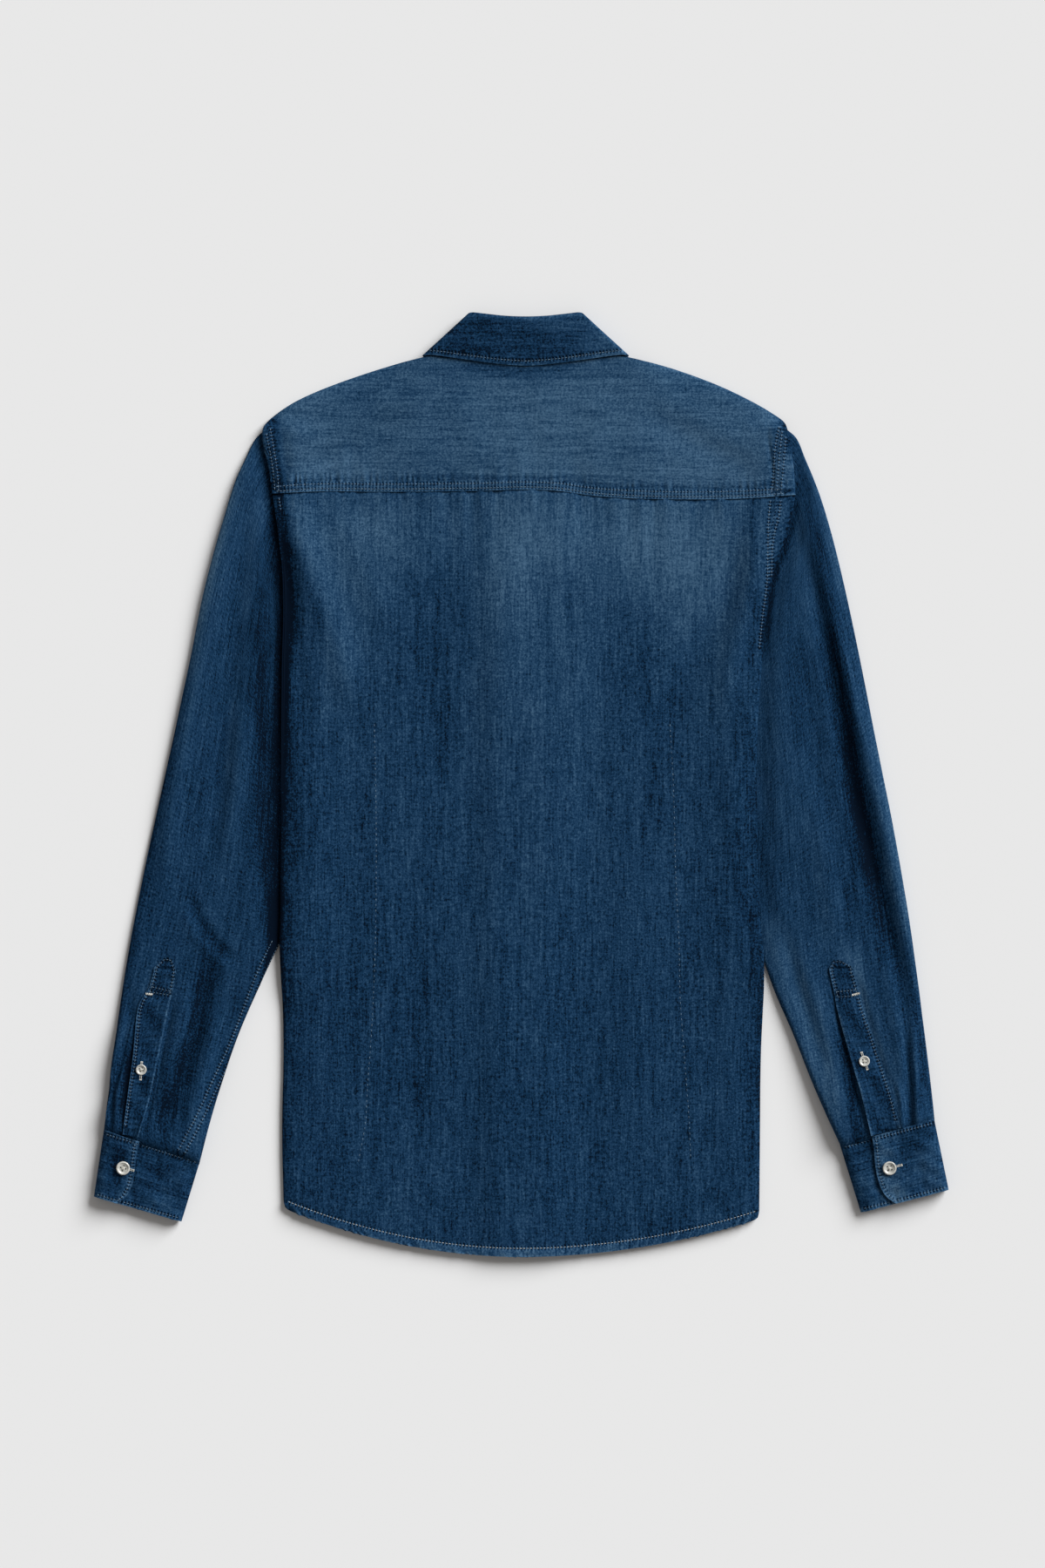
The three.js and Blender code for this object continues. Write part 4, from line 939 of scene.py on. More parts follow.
def yoke_tone(x, y, row, column):
    above = y - yoke_seam(x)
    left, right = insets(x, y)
    bars = smooth(9, 7, left) * ripple(y, 2.9, 0.2) + 2 * smooth(22, 19, right) * ripple(y, 4.6, 1.3)
    fade = 0.76 + spots(x, y, YOKE_TONES) + folds(x, y, YOKE_SHADES)
    fade -= 0.1 * np.exp(-np.clip(above - 7, 0, None) / 5)
    band = np.exp(-((above - 9.5) / 4.5) ** 2)
    fade += band * (0.3 * ripple(x, 5.2, 1.1) - 0.22)
    # Painted shade near the yoke's shoulder ends, where the cloth rounds away from the light.
    fade -= 0.22 * np.exp(-np.clip(np.minimum(left, right), 0, None) / 8) * smooth(306, 290, y)
    fade += 0.2 * bars * smooth(306, 290, y)
    wear = 0.16 * smooth(1.3, 0.0, above)
    return fade, wear


def yoke():
    shares = [0, 0.06, 0.12, 0.18, 0.24, 0.3, 0.34, 0.38, 0.44, 0.5, 0.58, 0.66, 0.75, 0.84, 0.92]
    columns = shoulder_columns(LEFT_SHOULDER, shares)
    for k in range(13):
        out = lerp(-NECK_POINT[0], NECK_POINT[0], k / 12)
        edge = (CENTRE_X + out, lerp(BACK_NECK_Y, NECK_POINT[1], (out / NECK_POINT[0]) ** 2))
        foot_x = CENTRE_X + out * 0.92
        columns.append(yoke_column(edge, (foot_x, yoke_seam(foot_x) - YOKE_LAP), edge, 0))
    columns += shoulder_columns(RIGHT_SHOULDER, shares)[::-1]
    rows = [[column[i] for column in columns] for i in range(len(columns[0]))]
    return shell("yoke", rows, CLOTH, (1.8, 2.0), relief=yoke_relief, tone=yoke_tone, grain="turned",
                 node="back_yoke")


def front_hem(x):
    share = (x - CENTRE_X) / FRONT_HEM[2]
    return FRONT_HEM[0] + FRONT_HEM[1] * share * share


def front_face(x, y, seam_x, rise):
    centre = rise * (1 - smooth(RISE_FROM, RISE_TO, abs(x - CENTRE_X)))
    lift = TUCK_LIFT * smooth(TUCK_END_Y, TUCK_FULL_Y, y) * (1 - smooth(98, 112, y))
    armhole = (TUCK_LIFT - 0.6) * smooth(124, 150, y) * (1 - smooth(258, 280, y))
    side = (lift + armhole) * (1 - smooth(0, 22, abs(x - seam_x)))
    return max(centre, side, collar_lift(x, y))


FRONT_LEVELS = (0, 0.05, 0.14, 0.23, 0.29, 0.34, 0.44, 0.54, 0.64, 0.71, 0.75, 0.79, 0.84, 0.89, 0.93,
                0.97, 1)
FRONT_COLUMNS = (0, 0.05, 0.1, 0.16, 0.26, 0.4, 0.54, 0.64, 0.7, 0.76, 0.82, 0.88, 0.94, 1)
FRONT_TONES = [(-100, 120, 60, 90, 0.14), (110, 110, 60, 90, 0.16)]


def front_tone(x, y, row, column):
    return 0.34 + 0.2 * smooth(-40, 200, y) + spots(x, y, FRONT_TONES)


def front(name, sign, shoulder, seam_name, rise):
    edge_x = CENTRE_X - sign * PLACKET_WIDTH / 2
    under = [(abs(row[4] - CENTRE_X), row[5]) for row in shoulder.rows[4:]][::-1]
    top = Table("out y", FRONT_NECK + under)
    corner_x = side_at(284, seam_name)
    corner_y = top.at(abs(corner_x - CENTRE_X), "y") - 2 * SEAM_GAP
    rows = []
    for level in FRONT_LEVELS:
        row = []
        for column in FRONT_COLUMNS:
            side_y = lerp(front_hem(side_at(-340, seam_name)), corner_y, level)
            seam_x = side_at(min(side_y, 284), seam_name) - sign * SEAM_GAP / 2
            x = lerp(seam_x, edge_x, column)
            top_y = top.at(abs(lerp(corner_x, edge_x, column) - CENTRE_X), "y") - 2 * SEAM_GAP
            y = lerp(front_hem(x), top_y, level)
            row.append((x, y, front_face(x, y, seam_x, rise)))
        rows.append(row[::-1] if sign < 0 else row)
    return shell(name, rows, CLOTH, (5, 5), tone=front_tone, node=name)


def front_placket():
    rows = []
    for i in range(11):
        row = []
        for side in (1, 0.5, 0, -0.5, -1):
            x = CENTRE_X + side * PLACKET_WIDTH / 2
            row.append((x, lerp(front_hem(x), PLACKET_TOP, i / 10), PLACKET_FACE))
        rows.append(row)
    return shell("placket", rows, CLOTH, (4, 4), tone=lambda x, y, r, c: 0.45, node="front_placket")


# ---------------------------------------------------------------- sleeves

def sleeve_top(x, y, full, side_name):
    outside = abs(x) - abs(side_at(y, side_name))
    return lerp(TUCK_HEIGHT, full, smooth(1, 17, outside))


def sleeve_ring(table, armhole, share, side_name):
    inner = (table.at(share, "innerX"), table.at(share, "innerY"))
    outer = (table.at(share, "outerX"), table.at(share, "outerY"))
    height = table.at(share, "height")
    width = math.hypot(outer[0] - inner[0], outer[1] - inner[1])
    blend = 1 - smooth(0, ARMHOLE_BLEND, share)
    start, tip = armhole.rows[0], armhole.rows[-1]

    def plan(along, layer):
        s = along / width
        bend_x = armhole.at(s, layer + "X") - lerp(start[1], tip[1], s)
        bend_y = armhole.at(s, layer + "Y") - lerp(start[2], tip[2], s)
        return lerp(inner[0], outer[0], s) + bend_x * blend, lerp(inner[1], outer[1], s) + bend_y * blend

    ring = []

    def over(along, part):
        x, y = plan(along, "over")
        ring.append((x, y, sleeve_top(x, y, height, side_name) * part))

    def under(along, part):
        x, y = plan(along, "under")
        ring.append((x, y, max(armhole_lift(x, y, blend, side_name), TUCK_HEIGHT * part)))

    over(0, 0.5)
    over(0.9, 0.84)
    over(3, 0.98)
    for k in range(1, 12):
        over(lerp(3, width - 14, k / 11), 1)
    for inset in (6.5, 2.6, 0.8, 0):
        over(width - inset, rounded_top(inset, 14))
    under(width - 1, 0.14)
    under(width - 3, 0)
    for k in range(1, 6):
        under(lerp(width - 3, 3, k / 5), 0)
    under(0.9, 0.14)
    return ring


def armhole_lift(x, y, blend, side_name):
    seam_x = side_at(min(y, 284), side_name + "Seam")
    near = 1 - smooth(0, 22, abs(abs(x) - abs(seam_x)))
    lift = (TUCK_LIFT - 0.6) * smooth(124, 150, y) * (1 - smooth(258, 280, y))
    return lift * near * smooth(0.2, 0.9, blend)


SLEEVE_SHARES = [0, 0.02, 0.045, 0.07, 0.1, 0.14, 0.19, 0.26, 0.34, 0.42, 0.5, 0.58, 0.66, 0.74, 0.82,
                 0.9, 0.95, 1]
LEFT_SLEEVE_FOLDS = [
    (3.4, 12, [(-226, 300), (-236, 236), (-254.6, 158.8), (-274.4, 68.8), (-290.6, -21.2),
               (-303, -120)]),
    (-2.2, 10, [(-222, 260), (-229.4, 194.8), (-240.2, 86.8), (-251, -21.2), (-262, -80)]),
    (2.0, 8, [(-228, 80), (-236, -3.2), (-248, -75.2)]),
    (-2.8, 8, [(-212, 260), (-208, 144), (-212, 60), (-211, -30), (-214, -140)]),
    (-1.6, 9, [(-262, 170), (-284, 60), (-302, -40), (-314, -130)]),
    (-1.5, 5, [(-276, -86), (-267, -112), (-252, -132), (-232, -150)]),
    (1.0, 6, [(-282, -96), (-270, -124), (-254, -142), (-236, -158)]),
    (-3.0, 9, [(-250, -128), (-262, -170), (-268, -205), (-286, -250), (-300, -292)]),
    (2.2, 7, [(-250, -180), (-262, -236), (-278, -296)]),
    (1.6, 7, [(-276, -160), (-282, -210), (-298, -270)]),
    (-1.6, 4, [(-322, -160), (-322, -200), (-330, -262)]),
    (2.6, 3.2, [(-326, -180), (-333.2, -216), (-340.7, -249), (-342.2, -300)]),
    (2.4, 3.0, [(-318, -176), (-327.2, -228), (-333.2, -255), (-336.2, -300)]),
    (-2.2, 2.4, [(-324, -200), (-330.4, -232), (-337, -254), (-339.2, -300)]),
    (-1.8, 2.6, [(-284.6, -168), (-288.4, -186), (-297.2, -224), (-299.6, -243), (-304.4, -258),
                 (-314, -300)]),
]
RIGHT_SLEEVE_FOLDS = [
    (4.2, 8, [(216, 310), (229, 240), (250.4, 158.8), (279.2, 50.8), (297.2, -21.2), (309, -75.2),
              (323.4, -147.2), (333, -240)]),
    (-3.8, 7.5, [(218, 270), (234, 216), (248, 144), (261, 72), (272, 0), (287, -50), (300, -110),
                 (312, -160), (324, -240)]),
    (1.2, 15, [(206, 160), (213.4, 68.8), (235, -93.2)]),
    (-1.4, 10, [(232, 130), (244, 30), (256, -60)]),
    (1.6, 9, [(240, 10), (252, -70), (262, -140)]),
    (-1.8, 7, [(212, -100), (228, -165), (262, -262)]),
    (2.0, 9, [(226, -120), (246, -190), (270, -300)]),
    (-2.0, 4, [(274, -150), (283, -186), (297, -232), (308, -262)]),
    (1.6, 6, [(300, -120), (308, -180), (318, -260)]),
    (-1.8, 2.6, [(256, -150), (259, -176), (268, -222), (278, -260), (287, -300)]),
    (2.4, 3.2, [(322, -180), (325.5, -233.6), (328.4, -300)]),
    (-2.2, 2.8, [(316, -200), (319.5, -240), (322.4, -300)]),
    (2.0, 2.6, [(310, -240), (313.5, -262), (315.5, -300)]),
]
# Painted shade in the left sleeve's crevice, creases, the gap under its arm and the hollow by the placket, and
# painted highlights along its ridges and edges: amount, half width, line.
LEFT_SLEEVE_SHADES = [
    (-0.6, 6, [(-214, 340), (-206, 262), (-202, 216), (-198, 150), (-200, 90), (-202, 20), (-202, -80),
               (-204, -220)]),
    (-0.32, 8, [(-212, 220), (-217, 120), (-216, 40), (-216, -40), (-212, -120)]),
    (0.2, 4, [(-204, 180), (-205, 110), (-206, 50)]),
    (0.22, 7, [(-212, 260), (-221, 190), (-228, 120)]),
    (-0.5, 3, [(-196, -90), (-209, -150), (-219, -178), (-240, -226), (-262, -284)]),
    (-0.5, 7, [(-204, -80), (-204, -130), (-206, -160), (-212, -190)]),
    (-0.14, 5, [(-276, -80), (-267, -108), (-252, -130), (-234, -150)]),
    (-0.32, 13, [(-246, -100), (-262, -160), (-268, -205), (-286, -250), (-304, -310)]),
    (0.2, 8, [(-292, -140), (-303, -190), (-306, -230)]),
    (0.2, 6, [(-340, -180), (-346, -240), (-352, -300)]),
    (0.14, 7, [(-246, 260), (-262, 180), (-276, 100), (-290, 0)]),
    (0.16, 8, [(-236, 130), (-240, 60), (-242, -20)]),
    (0.55, 6, [(-200, 350), (-226, 285), (-240, 245), (-251, 200), (-264, 150), (-280, 60)]),
    (-0.45, 6, [(-314, -200), (-326, -262), (-328, -330)]),
    (0.2, 5, [(-262, -96), (-250, -120), (-232, -140)]),
    (0.24, 9, [(-302, -150), (-308, -205), (-310, -240)]),
    (0.3, 6, [(-262, -260), (-270, -290), (-282, -320)]),
    (-0.3, 6, [(-316, -180), (-318, -212), (-323, -240), (-326, -290)]),
]
# Painted shade in the right sleeve's crevice, creases and hollows near the cuff, and painted highlights along its
# ridges and outer edge: amount, half width, line.
RIGHT_SLEEVE_SHADES = [
    (-0.44, 7.5, [(224, 300), (242, 210), (255, 150), (267, 80), (276, 10), (285, -50), (296, -110),
                 (306, -150), (314, -190)]),
    (-0.14, 8, [(264, 60), (272, -20), (274, -60), (274, -150)]),
    (0.46, 9, [(266, -120), (280, -190), (294, -236), (304, -310)]),
    (0.34, 6, [(230, 300), (240, 262), (254, 212), (270, 130)]),
    (0.34, 4, [(284, 110), (293, 40), (306, -30), (314, -70), (324, -130), (330, -190)]),
    (-0.22, 5, [(316, -110), (326, -185), (331, -230), (331, -290)]),
    (0.42, 14, [(204, -90), (218, -150), (236, -196), (262, -290)]),
    (0.14, 9, [(262, -110), (280, -160), (296, -210), (316, -280)]),
    (-0.45, 5, [(258, -190), (266, -225), (273, -262), (280, -310)]),
    (-0.5, 3, [(229, 262), (228, 240), (225, 216), (218, 195), (212, 180), (207.5, 164), (204.5, 140),
               (200, 90)]),
    (-0.16, 8, [(226, 130), (228, 70), (232, 10)]),
    (0.14, 9, [(224, 250), (234, 170), (246, 100)]),
    (-0.2, 7, [(272, 10), (281, -40), (292, -90)]),
    (-0.14, 8, [(203, -20), (196, -80), (190, -130)]),
]
# The sleeve heads' tops: place, and how far they are pushed out.
HEAD_PUSH = {"left": ((-210, 288), (-4.0, 5.0)), "right": ((218, 288), (4.5, 5.0))}
HEAD_REACH = 14
CUFF_TUCK = 4
# The left sleeve's outer edge, along which painted shade is laid.
LEFT_OUTLINE = [(-268, 130), (-276.9, 86.8), (-292.8, 14.8), (-308.6, -57.2), (-321.6, -122),
                (-329.5, -168.8), (-336, -215.6), (-344.6, -284.6)]
LEFT_FELL = [(-203, -130), (-215.7, -157.3), (-237.3, -213.5), (-254.6, -251), (-264.7, -273.2),
             (-280.5, -303.5)]


def cuff_gathers(share_left, along):
    return 0.5 * ripple(along, 9.5, 0.7) * np.exp(-share_left / 11)


def sleeve_relief(creases, cuff_seam, fell=None):
    def relief(x, y, row, column):
        total = folds(x, y, creases)
        if fell is not None:
            away, share = along_line(x, y, fell)
            seam = smooth(4.4, 3.2, np.abs(away)) * (0.45 + 0.2 * ripple(y, 8, 0.5))
            total += seam * smooth(0, 0.08, share)
        end = np.abs(along_line(x, y, cuff_seam)[0])
        return total + cuff_gathers(end, x) - 1.1 * smooth(4, 0, end)
    return relief


def sleeve_tone(base, creases, shades, fell=None):
    def tone(x, y, row, column):
        # Folds painted lighter on their ridges and darker in their troughs, as painted light and shade with some
        # wash wear, then the painted shade and highlights of the sleeve's table.
        fade = base + FOLD_WEAR_AND_SHADE * folds(x, y, creases) + folds(x, y, shades)
        if fell is None:
            return fade
        edge, _ = along_line(x, y, LEFT_OUTLINE)
        away, _ = along_line(x, y, fell)
        # Painted shade along the left sleeve's outer edge, where it rounds away from the light.
        return fade - 0.24 * np.exp(-np.abs(edge) / 4), 0.1 * smooth(4.6, 3.6, np.abs(away))
    return tone


def head_filled(point, side_name):
    """The top of the sleeve head brought out to the corner of the yoke."""
    (tip_x, tip_y), (push_x, push_y) = HEAD_PUSH[side_name]
    near = math.exp(-(math.hypot(point[0] - tip_x, point[1] - tip_y) / HEAD_REACH) ** 2)
    return point[0] + push_x * near, point[1] + push_y * near, point[2]


def tucked(before, last):
    """A point of the sleeve's end carried on into the cuff."""
    dx, dy = last[0] - before[0], last[1] - before[1]
    share = CUFF_TUCK / math.hypot(dx, dy)
    return last[0] + dx * share, last[1] + dy * share, max(last[2] * 0.66, 2.4)


def sleeve(name, table, armhole, side_name, relief, tone, node):
    rows = [[head_filled(point, side_name) for point in sleeve_ring(table, armhole, share, side_name)]
            for share in SLEEVE_SHARES]
    rows.append([tucked(before, last) for before, last in zip(rows[-2], rows[-1])])
    if side_name == "right":
        rows = [row[::-1] for row in rows]
    return shell(name, rows, CLOTH, (2.2, 1.9), ring=True, relief=relief, tone=tone, grain="columns",
                 node=node)


def cuff_rows(shape):
    rows = []
    for share in (0, 0.2, 0.45, 0.7, 0.88, 1):
        outer = [lerp(shape["seam"][0][k], shape["edge"][0][k], share) for k in (0, 1)]
        inner = [lerp(shape["seam"][1][k], shape["edge"][1][k], share) for k in (0, 1)]
        width = math.hypot(inner[0] - outer[0], inner[1] - outer[1])
        top = lerp(*CUFF_HEIGHT, share)
        low = top - STIFF_CLOTH - 1.1
        end = shape["flap"].at(share, "across") * width
        line = [(lerp(9, end, t), top) for t in (1, 0.6, 0.25)]
        line += [(inset, top * rounded_top(inset, 9)) for inset in (6, 2.6, 0.8, 0)]
        line.append((1.2, top * 0.14))
        line += [(lerp(4, width - 4, t), 0) for t in (0, 0.33, 0.67, 1)]
        line.append((width - 1.2, low * 0.14))
        line += [(width - inset, low * rounded_top(inset, 9)) for inset in (0, 0.8, 2.6, 6, 9)]
        stop = (shape["flap"].at(1, "across") - UNDERLAP + 0.1) * width
        line += [(lerp(width - 9, max(stop, 12), t), low) for t in (0.3, 0.65, 1)]
        rows.append([(lerp(outer[0], inner[0], a / width), lerp(outer[1], inner[1], a / width), z)
                     for a, z in line])
    return rows


# Lighter and darker patches on the cuffs: centre, half sizes, amount. The two dark ones round and below the left
# cuff's button are painted shadow.
CUFF_TONES = [
    (338, -322, 16, 26, 0.4), (306, -346, 14, 10, 0.2), (274, -330, 8, 20, 0.1),
    (-348, -330, 8, 20, 0.3),
    (-300, -324, 16, 12, -0.1), (-290, -350, 12, 8, 0.15), (-330, -308, 14, 14, -0.34),
    (-332, -330, 12, 12, -0.14),
    (-300, -338, 30, 24, 0.14), (306, -340, 16, 14, 0.16), (288, -331, 10, 12, 0.3),
]


def cuff(name, shape, mirrored, node):
    rows = cuff_rows(shape)
    if mirrored:
        rows = [row[::-1] for row in rows]

    def distances(x, y):
        return [np.abs(along_line(x, y, shape[line])[0]) for line in ("seam", "edge")]

    def relief(x, y, row, column):
        from_seam, from_edge = distances(x, y)
        total = 0.5 * ripple(x, 9, 0.6) * np.exp(-from_seam / 8)
        total += 0.4 * ripple(x, 7.4, 1.6) * np.exp(-from_edge / 5)
        for away in (from_edge, from_seam):
            total -= 0.3 * np.exp(-((away - 2.2) / 0.8) ** 2)
        total += 0.4 * np.sin(x / 5.0 + y / 9.0)
        total += 0.3 * np.sin(x / 2.6 - y / 4.0) * np.sin(x / 8 + y / 3.1)
        crinkle = np.sin(x / 1.1 + 1.6 * np.sin(y / 3.4)) * np.exp(-np.minimum(from_seam, from_edge) / 9)
        return total + 0.3 * np.sin(y / 2.3 + 1.4 * np.sin(x / 6)) + 0.2 * crinkle

    def tone(x, y, row, column):
        from_seam, from_edge = distances(x, y)
        wear = 0.3 * smooth(2.2, 0.3, from_edge) + 0.5 * smooth(1.8, 0.2, from_seam)
        side = smooth(1.4, 0.2, np.abs(column - (len(rows[0]) - 1 if mirrored else 0)))
        blotch_and_shadow = 0.14 * np.sin(x / 4.1 + y / 6) * np.sin(y / 3.2 + x / 13) + 0.1 * ripple(x, 5.4, 1.6)
        # The patches add the painted shadow round the left cuff's button to the cuff's mottling.
        blotch_and_shadow += spots(x, y, CUFF_TONES)
        return 0.1 + blotch_and_shadow + 0.2 * np.exp(-from_edge / 5), wear + 0.5 * side

    return shell(name, rows, STIFF_CLOTH, (1.0, 1.0), relief=relief, tone=tone, grain="rows", node=node)


def placket_place(edges):
    """A function that turns a row and a share across into a place on the placket."""
    table = Table("row ax ay bx by", [(i, *edge) for i, edge in enumerate(edges)])

    def at(i, t):
        return lerp(table.at(i, "ax"), table.at(i, "bx"), t), lerp(table.at(i, "ay"), table.at(i, "by"), t)

    return at


def height_on(name, x, y, missing):
    point, _ = drop(name, x, y)
    return missing if point is None else point[2]


PLACKET_LAST = 12


def sleeve_placket(name, edges, on, free, node):
    """A placket that follows the sleeve below it, its free side standing off in waves."""
    at = placket_place(edges)
    rows = []
    for i in np.linspace(0, len(edges) - 1, 61):
        row = []
        for t in np.linspace(0, 1, PLACKET_LAST + 1):
            x, y = at(i, t)
            z = height_on(on, x, y, 9.0)
            wave = smooth(4.4, 5.4, i) * (1.7 + 0.9 * math.sin(i * 4.1))
            off = smooth(0.45, 1, t if free else 1 - t) * wave
            edge = min(t, 1 - t)
            row.append((x, y, z + 1.4 + 0.5 * math.sin(i * 5.3) * smooth(0, 0.3, edge) + off))
        rows.append(row[::-1])
    grid = np.array(rows)
    for _ in range(3):
        grid[1:-1, :, 2] = (grid[:-2, :, 2] + 2 * grid[1:-1, :, 2] + grid[2:, :, 2]) / 4
    floor = np.array([[height_on(on, p[0], p[1], 0) for p in row] for row in grid])
    grid[:, :, 2] = np.maximum(grid[:, :, 2], floor + 1.15)

    def from_side(column):
        return np.minimum(column, PLACKET_LAST - column) / PLACKET_LAST

    def relief(x, y, row, column):
        edge = from_side(column)
        waves = 0.4 * ripple(y, 8, 0.8) * smooth(0.0, 0.3, edge)
        return waves + 0.4 * smooth(0.14, 0.04, edge) + 0.2 * np.sin(y / 1.1)

    def tone(x, y, row, column):
        edge = from_side(column)
        return 0.08 + 0.12 * np.sin(y / 5 + x / 4), 0.6 * smooth(0.1, 0.02, edge) + 0.2 * smooth(1.2, 0, row)

    return shell(name, grid, CLOTH, (1.0, 0.9), relief=relief, tone=tone, grain="columns", node=node)


# ---------------------------------------------------------------- collar

def collar_at(share, name):
    return COLLAR.at(abs(share), name)


COLLAR_SHARES = [0.1, 0.2, 0.28, 0.305, 0.32, 0.33, 0.34, 0.355, 0.38, 0.44, 0.5, 0.6, 0.7, 0.85, 1]
COLLAR_SHARES = [-s for s in reversed(COLLAR_SHARES)] + [0] + COLLAR_SHARES


def collar_level(share, top, bottom):
    return lerp(bottom, top, (np.clip(collar_at(share, "side"), -1, 1) + 1) / 2)


def collar_point(share, t, z):
    sign = -1 if share < 0 else 1
    out = max(lerp(collar_at(share, "rollOut"), collar_at(share, "edgeOut"), t), 0)
    return CENTRE_X + sign * out, lerp(collar_at(share, "rollY"), collar_at(share, "edgeY"), t), z


COLLAR_TONES = [(-34, 374, 22, 10, -0.1), (0, 370, 90, 30, 0.06), (74, 362, 22, 26, 0.5),
                (34, 384, 34, 8, 0.3), (-70, 360, 14, 12, 0.12)]


LEAF_LAST = 6
LEAF_STEP = 10.3


def leaf_place(row):
    """How far a row of the leaf lies from its edge, in mm."""
    return (LEAF_LAST - row) * LEAF_STEP


def collar_leaf():
    rows = [
        [collar_point(s, 0, collar_level(s, STAND_TOP - 1.6, STAND_FRONT + 1.4)) for s in COLLAR_SHARES],
        [collar_point(s, 0.008, collar_level(s, COLLAR_TOP - 1.4, 1.4)) for s in COLLAR_SHARES],
        [collar_point(s, 0.06, collar_level(s, COLLAR_TOP, 0)) for s in COLLAR_SHARES],
    ]
    for t in (0.25, 0.5, 0.75, 1):
        rows.append([collar_point(s, t, collar_level(s, COLLAR_TOP, 0)) for s in COLLAR_SHARES])

    def relief(x, y, row, column):
        from_edge = leaf_place(row)
        total = -0.5 * np.exp(-((from_edge - 3.8) / 1.0) ** 2)
        total += 0.34 * ripple(x, 8.2, 0.9) * np.exp(-np.abs(from_edge - 5.5) / 4)
        total += 0.3 * ripple(x, 23, 0.2) * smooth(30, 4, from_edge)
        total -= 0.8 * smooth(6, 0, from_edge)
        return total + 0.5 * np.exp(-((y - 380) / 7) ** 2) * np.sin(x / 17)

    def tone(x, y, row, column):
        from_edge = leaf_place(row)
        fade = 0.02 + spots(x, y, COLLAR_TONES) + 0.22 * smooth(4.4, 3.2, from_edge)
        fade += 0.1 * ripple(x, 8.2, 0.9) * smooth(12, 5, from_edge)
        return fade, 0.2 * smooth(1.4, 0, from_edge) + 0.1 * smooth(2.4, 1.6, row)

    return shell("collar", [row[::-1] for row in rows], STIFF_CLOTH, (1.3, 1.2), relief=relief, tone=tone,
                 grain="turned", node="collar_leaf")


def collar_stand():
    rows = []
    for t in (0, 0.5, 1):
        row = []
        for share in COLLAR_SHARES:
            sign = -1 if share < 0 else 1
            end = smooth(0.84, 1, abs(share))
            clear = 2 * SEAM_GAP if collar_at(share, "side") < 0 else SEAM_GAP
            out = lerp(collar_at(share, "neckOut"), collar_at(share, "standOut"), t)
            y = lerp(collar_at(share, "neckY") + clear, collar_at(share, "standY"), t)
            lift = STAND_OVERLAP[0] * smooth(0.7, 0.9, share) if sign > 0 else 0
            x = CENTRE_X + sign * (out - STAND_OVERLAP[1] * end)
            row.append((x, y, collar_level(share, STAND_TOP, STAND_FRONT) + lift))
        rows.append(row)
    return shell("stand", rows, STIFF_CLOTH, (4, 3), tone=lambda x, y, r, c: 0.2, grain="turned",
                 node="collar_stand")


# ---------------------------------------------------------------- stitches

def capsule(points, faces, centres, radii, side, up):
    """A short closed tube through the centres."""
    first = len(points)
    sides = 6
    for centre, radius in zip(centres, radii):
        for k in range(sides):
            a = 2 * math.pi * k / sides
            points.append(centre + side * (math.cos(a) * radius) + up * (math.sin(a) * radius * 0.8))
    rings = len(centres)
    for i in range(rings - 1):
        for k in range(sides):
            a, b = first + i * sides + k, first + i * sides + (k + 1) % sides
            faces.append((a, b, b + sides, a + sides))
    faces.append(tuple(first + k for k in reversed(range(sides))))
    faces.append(tuple(first + (rings - 1) * sides + k for k in range(sides)))


def threads(name, points, faces, material, smooth_angle=80):
    piece = make_mesh(name, points, faces, material, smooth_angle)
    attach(piece, "root")
    return piece


def stitch(points, faces, on, a, b, radius, lift=0.0):
    pa, na = drop(on, *a)
    pb, nb = drop(on, *b)
    if pa is None or pb is None or abs(pa[2] - pb[2]) > 2.2:
        return
    up = unit(na + nb)
    along = unit(pb - pa)
    side = unit(np.cross(along, up))
    middle = (pa + pb) / 2
    pm, _ = drop(on, middle[0], middle[1])
    if pm is not None:
        middle = pm
    centres = [pa - up * 0.12, lerp(pa, middle, 0.35) + up * 0.12, middle + up * 0.2,
               lerp(pb, middle, 0.35) + up * 0.12, pb - up * 0.12]
    centres = [c + up * lift for c in centres]
    capsule(points, faces, centres, [radius * k for k in (0.55, 0.95, 1, 0.95, 0.55)], side, up)


def stitches(name, on, lines, material, length, gap, radius):
    """Rows of short threads along the lines, laid on a piece."""
    points, faces = [], []
    for line in lines:
        centres = resample(line, length + gap)
        ahead = np.gradient(centres, axis=0) if len(centres) > 1 else np.zeros_like(centres)
        for centre, step in zip(centres, ahead):
            d = unit(step)
            stitch(points, faces, on, centre - d * length / 2, centre + d * length / 2, radius)
    return threads(name, points, faces, material)


def bars(name, on, lines, radius=0.3):
    """Single white threads laid from point to point."""
    points, faces = [], []
    for a, b in lines:
        stitch(points, faces, on, np.array(a, float), np.array(b, float), radius, 0.1)
    return threads(name, points, faces, WHITE_THREAD)


def bartack(a, b, half=0.9, count=9):
    """Threads laid side by side across a line."""
    a, b = np.array(a, float), np.array(b, float)
    along = unit(b - a)
    side = np.array([-along[1], along[0]])
    lines = []
    for k in range(count):
        c = lerp(a, b, (k + 0.5) / count)
        lean = along * 0.25 * (1 if k % 2 else -1)
        lines.append((c - side * half + lean, c + side * half - lean))
    return lines


def buttonhole(a, b, half=0.95, pitch=0.55):
    """A worked buttonhole: short threads on both sides of its slit and across its ends."""
    a, b = np.array(a, float), np.array(b, float)
    along = unit(b - a)
    side = np.array([-along[1], along[0]])
    lines = []
    count = int(np.linalg.norm(b - a) / pitch)
    for k in range(count + 1):
        c = lerp(a, b, k / count)
        lines.append((c + side * 0.2, c + side * half))
        lines.append((c - side * 0.2, c - side * half))
    for end, out in ((a, -along), (b, along)):
        for k in range(-2, 3):
            lines.append((end + side * 0.4 * k + out * 0.2, end + side * 0.4 * k + out * 1.1))
    return lines


